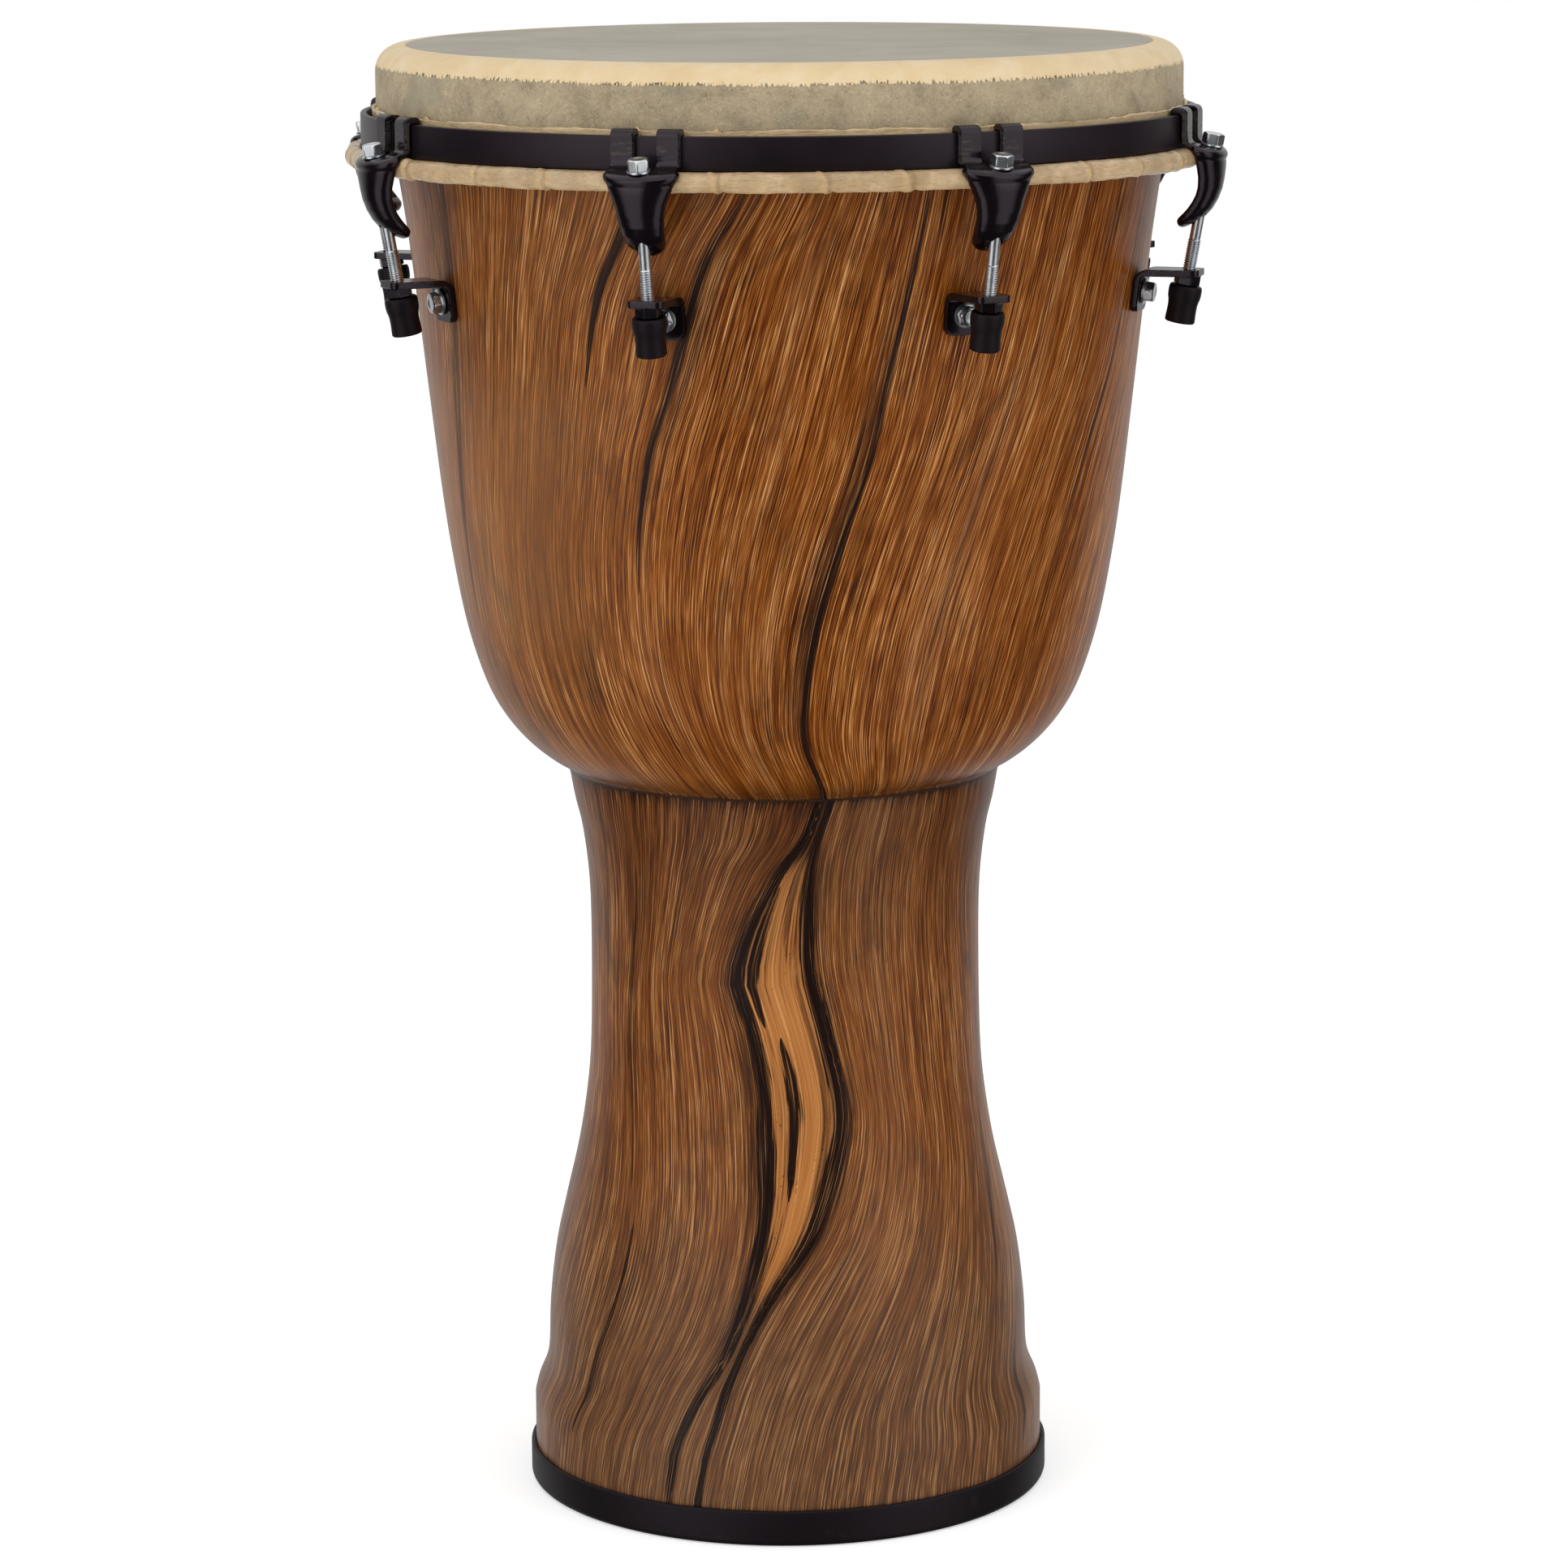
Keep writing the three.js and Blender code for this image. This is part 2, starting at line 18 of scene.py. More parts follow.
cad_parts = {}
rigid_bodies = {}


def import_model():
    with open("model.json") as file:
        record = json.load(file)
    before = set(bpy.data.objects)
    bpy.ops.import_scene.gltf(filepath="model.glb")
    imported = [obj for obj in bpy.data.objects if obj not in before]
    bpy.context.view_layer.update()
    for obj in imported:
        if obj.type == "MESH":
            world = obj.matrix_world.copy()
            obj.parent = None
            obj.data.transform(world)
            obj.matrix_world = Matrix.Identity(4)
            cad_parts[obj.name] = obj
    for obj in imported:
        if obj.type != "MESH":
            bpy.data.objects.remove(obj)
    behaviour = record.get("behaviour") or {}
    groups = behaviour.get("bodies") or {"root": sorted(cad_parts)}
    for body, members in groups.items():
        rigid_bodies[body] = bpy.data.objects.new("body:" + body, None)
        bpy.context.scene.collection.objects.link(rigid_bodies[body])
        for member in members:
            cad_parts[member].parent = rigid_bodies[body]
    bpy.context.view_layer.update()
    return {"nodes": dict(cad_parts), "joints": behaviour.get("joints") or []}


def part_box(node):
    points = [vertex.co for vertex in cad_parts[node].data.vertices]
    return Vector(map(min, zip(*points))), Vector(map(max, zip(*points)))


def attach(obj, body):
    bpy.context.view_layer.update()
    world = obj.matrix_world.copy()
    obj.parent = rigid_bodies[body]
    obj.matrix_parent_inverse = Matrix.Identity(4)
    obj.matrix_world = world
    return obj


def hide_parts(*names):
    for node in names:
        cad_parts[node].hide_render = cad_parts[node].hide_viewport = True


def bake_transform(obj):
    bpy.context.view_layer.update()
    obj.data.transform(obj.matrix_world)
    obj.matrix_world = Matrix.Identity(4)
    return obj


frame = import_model()

MM = 0.001
TAU = 2 * math.pi

# ---------------------------------------------------------------- sizes read from the frame

CAD_SEGMENTS = 48  # facets round the CAD model's turned pieces
FACET_SHRINK = math.cos(math.pi / CAD_SEGMENTS)  # a faceted ring's box is narrower than its circle


def joint(name):
    return next(j for j in frame["joints"] if j["name"] == name)


def ring_radius(node):
    low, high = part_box(node)
    return (high[0] - low[0]) / 2 / FACET_SHRINK


HEAD_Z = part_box("drumhead_skin")[1][2]
RIM = ring_radius("drumhead_skin")
BAND_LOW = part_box("counter_hoop")[0][2]
BAND_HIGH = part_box("counter_hoop")[1][2]
BAND_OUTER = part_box("counter_hoop")[1][0]
FLESH_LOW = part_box("flesh_hoop")[0][2]
FLESH_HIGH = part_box("flesh_hoop")[1][2]
BEAD_Z = (FLESH_LOW + FLESH_HIGH) / 2
FLESH_ROD = (FLESH_HIGH - FLESH_LOW) / 2 / math.sin(math.pi / 3)  # the CAD rod is a hexagon across
BEAD_RING = ring_radius("flesh_hoop") - FLESH_ROD  # radius of the rod's centre line
BEAD_ROUND = ring_radius("skin_wrap") - BEAD_RING
FOOT_OUTER = ring_radius("foot_ring")
FOOT_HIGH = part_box("foot_ring")[1][2]

SEAT = Vector(joint("bolt_turn_1")["pos_m"])  # where a bolt's washer sits on its claw
SEAT_RADIUS = math.hypot(SEAT.x, SEAT.y)
SEAT_Z = SEAT.z
LEAN = math.acos(Vector(joint("bolt_turn_1")["axis"]).z)
BOLT_AXIS = Vector((0, -math.sin(LEAN), math.cos(LEAN)))  # of a station that faces -Y
STATIONS = [k for k in range(1, 61) if f"claw_{k}" in frame["nodes"]]
SHELL_BODY = joint("hoop_slide")["parent"]
HOOP_BODY = joint("hoop_slide")["child"]


def station_angle(k):
    x, y, _ = joint(f"bolt_turn_{k}")["pos_m"]
    return math.atan2(x, -y)


def bolt_radius(z):
    """Drum radius of a tension bolt's axis at height z."""
    return SEAT_RADIUS + (z - SEAT_Z) * math.tan(LEAN)


# ---------------------------------------------------------------- mesh helpers


def link(name, mesh, materials, sharp_angle=35):
    obj = bpy.data.objects.new(name, mesh)
    bpy.context.scene.collection.objects.link(obj)
    for material in materials:
        mesh.materials.append(material)
    mesh.shade_smooth()
    if sharp_angle:
        mesh.set_sharp_from_angle(angle=math.radians(sharp_angle))
    return obj


def stand_in(obj, body, node):
    """Makes a finished piece ride on a body, in place of a CAD node."""
    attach(obj, body)
    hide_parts(node)


def make_mesh(name, verts, faces):
    mesh = bpy.data.meshes.new(name)
    mesh.from_pydata([tuple(v) for v in verts], [], faces)
    bm = bmesh.new()
    bm.from_mesh(mesh)
    bmesh.ops.remove_doubles(bm, verts=bm.verts, dist=1e-7)
    bmesh.ops.recalc_face_normals(bm, faces=bm.faces)
    bm.to_mesh(mesh)
    bm.free()
    return mesh


def grid_faces(rows, columns, wrap_rows, wrap_columns):
    last_row = rows if wrap_rows else rows - 1
    last_column = columns if wrap_columns else columns - 1
    faces = []
    for i in range(last_row):
        a = i * columns
        b = ((i + 1) % rows) * columns
        for j in range(last_column):
            k = (j + 1) % columns
            faces.append((a + j, a + k, b + k, b + j))
    return faces


def angles_round(columns):
    return np.arange(columns) * TAU / columns


def ring_mesh(name, radius, height, closed=True):
    """A turned mesh from arrays (outline points x angles) of radius and height."""
    rows, columns = radius.shape
    angle = angles_round(columns)
    x = radius * np.sin(angle)
    y = -radius * np.cos(angle)
    verts = np.stack([x, y, height], axis=-1).reshape(-1, 3)
    return make_mesh(name, verts, grid_faces(rows, columns, closed, True))


def swept(outline, segments):
    """Arrays of radius and height for ring_mesh, from a list of (radius, height)."""
    return [np.outer(column, np.ones(segments)) for column in np.array(outline).T]


def turned(name, outline, segments, closed=True):
    """A plain turned mesh from a list of (radius, height)."""
    radius, height = swept(outline, segments)
    return ring_mesh(name, radius, height, closed)


def in_metres(points, from_radius=0, from_height=0):
    return [(from_radius + r * MM, from_height + z * MM) for r, z in points]


def arc(cx, cy, radius, from_deg, to_deg, steps):
    angles = np.radians(np.linspace(from_deg, to_deg, steps + 1))
    return [(cx + radius * math.cos(a), cy + radius * math.sin(a)) for a in angles]


def curve_through(points, per_span):
    """A Catmull-Rom curve through 2-D points."""
    p = np.array(points, dtype=float)
    p = np.vstack([2 * p[0] - p[1], p, 2 * p[-1] - p[-2]])
    out = []
    for i in range(1, len(p) - 2):
        for step in range(per_span):
            t = step / per_span
            a = 2 * p[i]
            b = p[i + 1] - p[i - 1]
            c = 2 * p[i - 1] - 5 * p[i] + 4 * p[i + 1] - p[i + 2]
            d = 3 * p[i] - p[i - 1] - 3 * p[i + 1] + p[i + 2]
            out.append(tuple(0.5 * (a + b * t + c * t * t + d * t ** 3)))
    out.append(tuple(p[-2]))
    return out


def applied(obj):
    """Replaces obj's mesh by what its modifiers make of it."""
    depsgraph = bpy.context.evaluated_depsgraph_get()
    mesh = bpy.data.meshes.new_from_object(obj.evaluated_get(depsgraph))
    obj.modifiers.clear()
    obj.data = mesh
    return mesh


def temporary(mesh):
    obj = bpy.data.objects.new("temporary", mesh)
    bpy.context.scene.collection.objects.link(obj)
    return obj


def modified(mesh, kind, **settings):
    """The mesh after one modifier."""
    obj = temporary(mesh)
    modifier = obj.modifiers.new(kind, kind)
    for key, value in settings.items():
        setattr(modifier, key, value)
    result = applied(obj)
    bpy.data.objects.remove(obj)
    return result


def cut(mesh, *tools):
    for tool in tools:
        tool_obj = temporary(tool)
        mesh = modified(mesh, "BOOLEAN", operation="DIFFERENCE", solver="EXACT", object=tool_obj)
        bpy.data.objects.remove(tool_obj)
    return mesh


def joined(name, *meshes):
    bm = bmesh.new()
    for mesh in meshes:
        bm.from_mesh(mesh)
    out = bpy.data.meshes.new(name)
    bm.to_mesh(out)
    bm.free()
    return out


def cast(mesh, voxel, smoothing, keep):
    """One fused solid with softened edges, like a painted casting or pressing."""
    mesh = modified(mesh, "REMESH", mode="VOXEL", voxel_size=voxel, adaptivity=0)
    mesh = modified(mesh, "SMOOTH", factor=0.5, iterations=smoothing)
    if keep < 1:
        mesh = modified(mesh, "DECIMATE", ratio=keep)
    return mesh


def loft(name, sections):
    """A closed solid through equal-length rings of 3-D points, capped at both ends."""
    rings = [np.array(s) for s in sections]
    columns = len(rings[0])
    faces = grid_faces(len(rings), columns, False, True)
    last = (len(rings) - 1) * columns
    faces += [tuple(range(columns)), tuple(range(last, last + columns))]
    return make_mesh(name, np.vstack(rings), faces)


def side_slab(name, outline, x_from, x_to):
    """A solid from a side view in (radius, height), between two places across the station."""
    sections = [[(x, -r, z) for r, z in outline] for x in (x_from, x_to)]
    return loft(name, sections)


def on_bolt_axis(mesh, z):
    """Moves a mesh built on +Z, with its origin at height z on the tension bolt's axis."""
    mesh.transform(Matrix.Translation((0, -bolt_radius(z), z)) @ Matrix.Rotation(LEAN, 4, "X"))
    return mesh


def hexagon_radius(angle, flats):
    """Distance from the centre to a hexagon's side."""
    sector = (angle + math.pi / 6) % (math.pi / 3) - math.pi / 6
    return flats / 2 / math.cos(sector)


def hex_mesh(name, flats, outline, columns=72):
    """A hexagonal head or nut: each outline radius is limited by the hexagon's flats."""
    angles = [TAU * j / columns for j in range(columns)]
    sections = []
    for r, z in outline:
        radii = [min(r, hexagon_radius(a, flats)) for a in angles]
        sections.append([(q * math.cos(a), q * math.sin(a), z) for q, a in zip(radii, angles)])
    return loft(name, sections)


def round_bar(name, outline, columns=32):
    """A solid of revolution about +Z from (radius, height), closed by flat ends."""
    angles = [TAU * j / columns for j in range(columns)]
    return loft(name, [[(r * math.cos(a), r * math.sin(a), z) for a in angles] for r, z in outline])


# ---------------------------------------------------------------- material helpers


def rgb(code):
    """Linear colour of an sRGB hex code."""
    channels = [int(code[i : i + 2], 16) / 255 for i in (1, 3, 5)]
    return tuple(c / 12.92 if c < 0.04045 else ((c + 0.055) / 1.055) ** 2.4 for c in channels) + (1,)


class Value:
    """A node's output, for use in plain arithmetic."""

    def __init__(self, nodes, socket):
        self.nodes = nodes
        self.socket = socket

    def __add__(self, other):
        return self.nodes.math("ADD", self, other)

    def __sub__(self, other):
        return self.nodes.math("SUBTRACT", self, other)

    def __rsub__(self, other):
        return self.nodes.math("SUBTRACT", other, self)

    def __mul__(self, other):
        return self.nodes.math("MULTIPLY", self, other)

    def __truediv__(self, other):
        return self.nodes.math("DIVIDE", self, other)

    __radd__ = __add__
    __rmul__ = __mul__


class Nodes:
    """Lets a node tree be written as expressions of Values, plain values and colour codes."""

    def __init__(self, tree):
        self.tree = tree
        self.tree.nodes.clear()

    def put(self, socket, value):
        if isinstance(value, Value):
            self.tree.links.new(value.socket, socket)
        elif isinstance(value, str):
            socket.default_value = rgb(value)
        else:
            socket.default_value = value

    def node(self, kind, settings=None, **inputs):
        node = self.tree.nodes.new(kind)
        for key, value in (settings or {}).items():
            setattr(node, key, value)
        for key, value in inputs.items():
            self.put(node.inputs[key.replace("_", " ")], value)
        return node

    def value(self, kind, settings=None, output=0, **inputs):
        """One output of a new node."""
        return Value(self, self.node(kind, settings, **inputs).outputs[output])

    def math(self, operation, *values, clamp=False):
        node = self.node("ShaderNodeMath", {"operation": operation, "use_clamp": clamp})
        for socket, value in zip(node.inputs, values):
            self.put(socket, value)
        return Value(self, node.outputs[0])

    def absolute(self, value):
        return self.math("ABSOLUTE", value)

    def largest(self, value, *others):
        for other in others:
            value = self.math("MAXIMUM", value, other)
        return value

    def step(self, value, low, high):
        """0 below low, 1 above high, smooth in between; low may be above high."""
        settings = {"interpolation_type": "SMOOTHSTEP"}
        return self.value("ShaderNodeMapRange", settings, Value=value, From_Min=low, From_Max=high)

    def mix(self, factor, a, b):
        node = self.node("ShaderNodeMix", {"data_type": "RGBA"}, Factor=factor)
        self.put(node.inputs[6], a)
        self.put(node.inputs[7], b)
        return Value(self, node.outputs[2])

    def attribute(self, name, output="Fac"):
        return self.value("ShaderNodeAttribute", {"attribute_name": name}, output)

    def scaled(self, vector, scale, offset=(0, 0, 0)):
        return self.value("ShaderNodeMapping", Vector=vector, Scale=scale, Location=offset)

    def noise(self, vector, scale=1.0, detail=2.0, roughness=0.5, distortion=0.0):
        inputs = {"Scale": scale, "Detail": detail, "Roughness": roughness, "Distortion": distortion}
        return self.value("ShaderNodeTexNoise", None, "Fac", Vector=vector, **inputs)

    def ramp(self, value, *stops):
        """Colours along a value, from (position, colour code) stops."""
        node = self.node("ShaderNodeValToRGB")
        self.put(node.inputs[0], value)
        elements = node.color_ramp.elements
        while len(elements) > 1:
            elements.remove(elements[-1])
        elements[0].position = stops[0][0]
        elements[0].color = rgb(stops[0][1])
        for position, code in stops[1:]:
            elements.new(position).color = rgb(code)
        return Value(self, node.outputs[0])

    def bump(self, height, distance, strength=1.0):
        return self.value("ShaderNodeBump", Height=height, Distance=distance, Strength=strength)

    def place(self):
        return self.value("ShaderNodeTexCoord", output="Object")

    def split(self, vector):
        outputs = self.node("ShaderNodeSeparateXYZ", Vector=vector).outputs
        return [Value(self, socket) for socket in outputs]


class Shader(Nodes):
    """A material with one Principled surface."""

    def __init__(self, name):
        self.material = bpy.data.materials.new(name)
        self.material.use_nodes = True
        super().__init__(self.material.node_tree)
        self.bsdf = self.node("ShaderNodeBsdfPrincipled")
        self.node("ShaderNodeOutputMaterial", Surface=Value(self, self.bsdf.outputs[0]))

    def surface(self, **inputs):
        for key, value in inputs.items():
            self.put(self.bsdf.inputs[key.replace("_", " ")], value)


def store_vector(mesh, name, values):
    attribute = mesh.attributes.new(name, "FLOAT_VECTOR", "POINT")
    attribute.data.foreach_set("vector", np.asarray(values, dtype=np.float32).ravel())


def store_number(mesh, name, values):
    attribute = mesh.attributes.new(name, "FLOAT", "POINT")
    attribute.data.foreach_set("value", np.asarray(values, dtype=np.float32))


def vertex_array(mesh):
    out = np.empty(len(mesh.vertices) * 3)
    mesh.vertices.foreach_get("co", out)
    return out.reshape(-1, 3)


# ---------------------------------------------------------------- shell shape

CREASE_Z = 328.5 * MM  # where the bowl meets the stem
CREASE_RADIUS = 96.5 * MM
FOOT_RADIUS = 115.1 * MM
WALL = 6 * MM
SHELL_LOW = 3.3 * MM
HIDE_BEND = 11 * MM  # radius of the skin's bend over the rim

# Outlines of the outside, as (radius, height) in mm.
STEM = [
    (115.1, 38),
    (113.4, 44.5),
    (109.9, 53),
    (108.4, 62),
    (107.6, 82),
    (104.5, 108),
    (99.2, 132),
    (93.6, 156),
    (89.6, 181),
    (87.7, 204),
    (87, 245),
    (87.5, 276),
    (90.2, 300),
    (93.4, 314),
    (95.6, 326),
]

BOWL = [
    (97.6, 330.2),
    (105, 334.4),
    (114, 341.6),
    (122.4, 351),
    (129.6, 362.5),
    (135.4, 377),
    (140.8, 396),
    (145.6, 421),
    (150, 451),
    (155.4, 498),
    (162.3, 559),
    (168.6, 602),
    (172.6, 624),
    (174, 636),
]


STEM_CURVE = curve_through(in_metres(STEM), 4)
BOWL_CURVE = curve_through(in_metres(BOWL), 6)


def bowl_radius(z):
    """The shell's outside radius at a height on the bowl."""
    radii, heights = zip(*BOWL_CURVE)
    return float(np.interp(z, heights, radii))


# ---------------------------------------------------------------- painted grain

# Each grain line is named by its angle at mid height and drawn as (height in mm, angle in degrees).
# The painted grain follows these lines and blends between neighbours all the way round.
BOWL_GRAIN = {
    -70: [(329, -70), (350, -73), (400, -74), (461, -71.6), (525, -67), (575, -65), (640, -64)],
    -38: [
        (329, -38), (380, -42), (430, -42), (480, -39), (516, -36.4), (549, -33.7), (585, -27.6),
        (640, -19),
    ],
    -27: [
        (329, -22), (385, -29), (435, -29.5), (481, -26.6), (512, -22.6), (564, -16.4),
        (592, -10.8), (640, -2),
    ],
    8: [
        (329, 5), (357, -0.9), (383, -1.3), (415, 0.6), (450, 4.4), (484, 8.6), (522, 11.5),
        (576, 15.2), (640, 18),
    ],
    54: [(329, 46), (350, 43), (400, 44), (455, 49.8), (489, 54.7), (519, 59.5), (570, 64), (640, 69)],
    100: [(329, 92), (400, 93), (480, 101), (560, 108), (640, 112)],
    150: [(329, 139), (400, 141), (480, 150), (560, 155), (640, 158)],
    200: [(329, 196), (400, 194), (480, 200), (560, 203), (640, 207)],
    250: [(329, 246), (400, 244), (480, 250), (560, 254), (640, 258)],
}

STEM_GRAIN = {
    -54: [(16, -66), (61, -60.7), (123, -50.5), (211, -56.8), (270, -53.8), (329, -50)],
    -14: [
        (16, -33), (54, -28.7), (84, -19.6), (113, -13.8), (144, -10.8), (178, -11.1), (203, -12.2),
        (228, -15.7), (246, -19.4), (268, -15.5), (294, -7.2), (310, 0.2), (329, 4),
    ],
    1: [
        (16, -25.5), (45, -22.3), (69, -19.1), (91, -14.3), (113, -7.6), (137, 1.7), (170, 9.2),
        (192, 10.9), (224, 6.5), (250, 2.4), (275, 1.5), (294, 1.9), (310, 3.6), (329, 7),
    ],
    32: [
        (16, 0), (45, 3), (69, 8), (91, 14), (113, 21), (137, 28), (170, 33), (211, 31), (270, 28),
        (329, 30),
    ],
    65: [(16, 48), (61, 52), (128, 61.4), (162, 67), (211, 67), (270, 62), (329, 60)],
    110: [(16, 90), (70, 95), (137, 106), (200, 112), (270, 108), (329, 104)],
    160: [(16, 146), (100, 155), (200, 163), (270, 160), (329, 155)],
    210: [(16, 196), (100, 205), (200, 213), (270, 209), (329, 206)],
    260: [(16, 244), (100, 252), (200, 262), (270, 258), (329, 256)],
}


def grain_field(lines, angle_deg, z):
    """The grain name at each point, and the degrees of drum that one degree of grain name covers."""
    names = sorted(lines)
    places = np.array([smooth_line(lines[n], z / MM) for n in names])
    names = np.array(names, dtype=float)
    names = np.concatenate([names[-3:] - 360, names, names[:2] + 360])
    places = np.concatenate([places[-3:] - 360, places, places[:2] + 360])
    grain = np.zeros_like(z)
    spread = np.ones_like(z)
    for i in range(len(names) - 1):
        low, high = places[i], places[i + 1]
        inside = (angle_deg >= low) & (angle_deg < high)
        share = (angle_deg - low) / (high - low)
        grain = np.where(inside, names[i] + share * (names[i + 1] - names[i]), grain)
        spread = np.where(inside, (high - low) / (names[i + 1] - names[i]), spread)
    return grain, spread


def smooth_line(points, z):
    """A grain line's angle at each height, without corners."""
    curve = curve_through(points, 8)
    heights, angles = zip(*curve)
    return np.interp(z, heights, angles)


def paint_grain(mesh, lines, usual_radius):
    """Each vertex's place in the grain, on a seamless cylinder whose angle is the grain name.

    Its spread is the distance round the shell that one radian of grain name covers.
    """
    v = vertex_array(mesh)
    radius = np.hypot(v[:, 0], v[:, 1])
    angle = np.degrees(np.arctan2(v[:, 0], -v[:, 1]))
    grain, spread = grain_field(lines, angle, v[:, 2])
    g = np.radians(grain)
    flow = np.stack([usual_radius * np.cos(g), usual_radius * np.sin(g), v[:, 2]], axis=-1)
    return flow, spread * radius


def shell_outline():
    """The moulding's section: up the outside, over the rim, and down the inside."""
    low = [(FOOT_RADIUS - 1.2 * MM, SHELL_LOW), (FOOT_RADIUS, SHELL_LOW + 1.2 * MM)]
    low += [(FOOT_RADIUS, z * MM) for z in (12, 20, 30)]
    crease = [
        (CREASE_RADIUS - 0.2 * MM, CREASE_Z - 0.4 * MM),
        (CREASE_RADIUS + 0.2 * MM, CREASE_Z + 0.6 * MM),
    ]
    rim_centre = RIM - HIDE_BEND
    lip = arc(rim_centre, HEAD_Z - HIDE_BEND, 9.2 * MM, 5, 90, 8)
    outside = low + STEM_CURVE + crease + BOWL_CURVE + lip

    bowl = [(max(r - WALL, 95 * MM), z + 5 * MM) for r, z in BOWL_CURVE[8::4] if z < 600 * MM]
    stem = [(r - WALL, z + 1.5 * MM) for r, z in STEM_CURVE[::3] if z < 318 * MM]
    inside = [(rim_centre - 2 * MM, HEAD_Z - 4 * MM), (rim_centre - 1.2 * MM, 620 * MM)]
    inside += bowl[::-1] + [(CREASE_RADIUS - WALL, 334 * MM)] + stem[::-1]
    inside += [(FOOT_RADIUS - WALL, 34 * MM), (FOOT_RADIUS - WALL, SHELL_LOW)]
    return outside + inside


def painted_shell():
    mesh = turned("painted_shell", shell_outline(), 320)
    above = vertex_array(mesh)[:, 2] > CREASE_Z
    bowl_flow, bowl_spread = paint_grain(mesh, BOWL_GRAIN, 150 * MM)
    stem_flow, stem_spread = paint_grain(mesh, STEM_GRAIN, 95 * MM)
    store_vector(mesh, "flow", np.where(above[:, None], bowl_flow, stem_flow))
    store_number(mesh, "spread", np.where(above, bowl_spread, stem_spread))
    obj = link("painted_shell", mesh, [wood_paint(), raw_inside()], 50)
    for polygon in mesh.polygons:
        centre = polygon.center
        outward = centre.x * polygon.normal.x + centre.y * polygon.normal.y
        if outward < 0 and centre.z < HEAD_Z - 6 * MM:
            polygon.material_index = 1
    stand_in(obj, SHELL_BODY, "shell")


# Dark painted streaks: grain name, lowest and highest point in mm, width in mm, darkness, side of the haze.
BOWL_STREAKS = [
    (-38, 512, 640, 5.0, 0.9, 0.2),
    (-27, 424, 650, 5.0, 0.92, 0.4),
    (-24.5, 470, 650, 7, 0.35, -0.6),
    (8, 250, 610, 4.6, 0.95, -0.9),
    (6.2, 360, 560, 9, 0.4, -0.4),
    (30, 350, 520, 3, 0.4, 0.5),
    (54, 400, 585, 2.6, 0.65, 0.5),
    (-70, 400, 640, 7, 0.6, 0.5),
    (-58, 460, 560, 2, 0.5, 0.4),
    (96, 360, 560, 6, 0.95, -0.5),
    (118, 480, 625, 7, 0.8, 0.5),
    (150, 330, 520, 6, 1.0, -0.7),
    (178, 430, 610, 8, 0.9, 0.5),
    (205, 330, 600, 6, 1.0, -0.7),
    (240, 400, 560, 6, 0.8, 0.5),
    (262, 470, 630, 7, 0.8, -0.5),
]

STEM_STREAKS = [
    (-54, 150, 290, 3.4, 0.6, 0.0),
    (-52, 36, 135, 4, 0.85, 0.3),
    (-14, -20, 400, 8.6, 1.0, -0.5),
    (-17, 190, 285, 4, 0.55, 0.0),
    (-11, 226, 290, 6.5, 1.0, 0.2),
    (-8.4, 150, 222, 6.4, 1.0, -0.5),
    (-5, 262, 312, 3, 0.5, 0.5),
    (0.4, -20, 400, 8.2, 1.0, 0.3),
    (-2.2, 120, 250, 3.2, 0.55, -0.5),
    (3.8, 110, 205, 3.4, 0.75, 0.4),
    (65, 100, 190, 3, 0.6, 0.0),
    (78, 26, 80, 5, 0.6, 0.3),
    (112, 20, 300, 6, 0.9, -0.4),
    (150, 60, 240, 7, 0.9, 0.4),
    (185, 120, 322, 6, 1.0, -0.4),
    (215, 16, 200, 6, 0.9, 0.4),
    (255, 80, 300, 5, 0.8, 0.0),
]


class WoodPaint(Shader):
    """The shell's paint: places in the grain, and the brush strokes that its layers share."""

    def __init__(self):
        super().__init__("wood_paint")
        flow = self.attribute("flow", "Vector")
        x, y, self.z = self.split(flow)
        self.grain = self.math("ARCTAN2", y, x)
        self.spread = self.attribute("spread")
        self.bowl = self.step(self.z, CREASE_Z - 0.2 * MM, CREASE_Z + 0.2 * MM)
        self.stem = 1.0 - self.bowl
        # the bowl's strokes don't run on into the stem's
        moved = self.node("ShaderNodeVectorMath", {"operation": "ADD"})
        self.put(moved.inputs[0], flow)
        self.put(moved.inputs[1], self.value("ShaderNodeCombineXYZ", Z=self.bowl * 3.7))
        self.lie = Value(self, moved.outputs[0])

        self.broad = self.strokes(40, 190, 3, 0.55, 1, 0.3)
        self.patch = self.strokes(11, 70, 4, 0.6, 2, 0.3)
        self.medium = self.strokes(2.4, 60, 2, 0.6, 3)
        self.fine = self.strokes(0.9, 60, 2, 0.5, 4)
        self.finest = self.strokes(0.38, 55, 2, 0.5, 5)
        self.hairs = self.strokes(0.36, 11, 1, 0.5, 6)
        self.smear = self.strokes(26, 45, 4, 0.6, 8, 0.6)
        self.torn = self.strokes(3.6, 42, 2, 0.5, 9)

    def strokes(self, across, along, detail, roughness, seed, distortion=0.0):
        """Noise stretched along the grain; across and along are its cell sizes in mm. About -1 to 1."""
        scale = (1000 / across, 1000 / across, 1000 / along)
        vector = self.scaled(self.lie, scale, (seed * 7.3, seed * 3.1, seed * 5.7))
        return (self.noise(vector, 1.0, detail, roughness, distortion) - 0.5) * 3.6


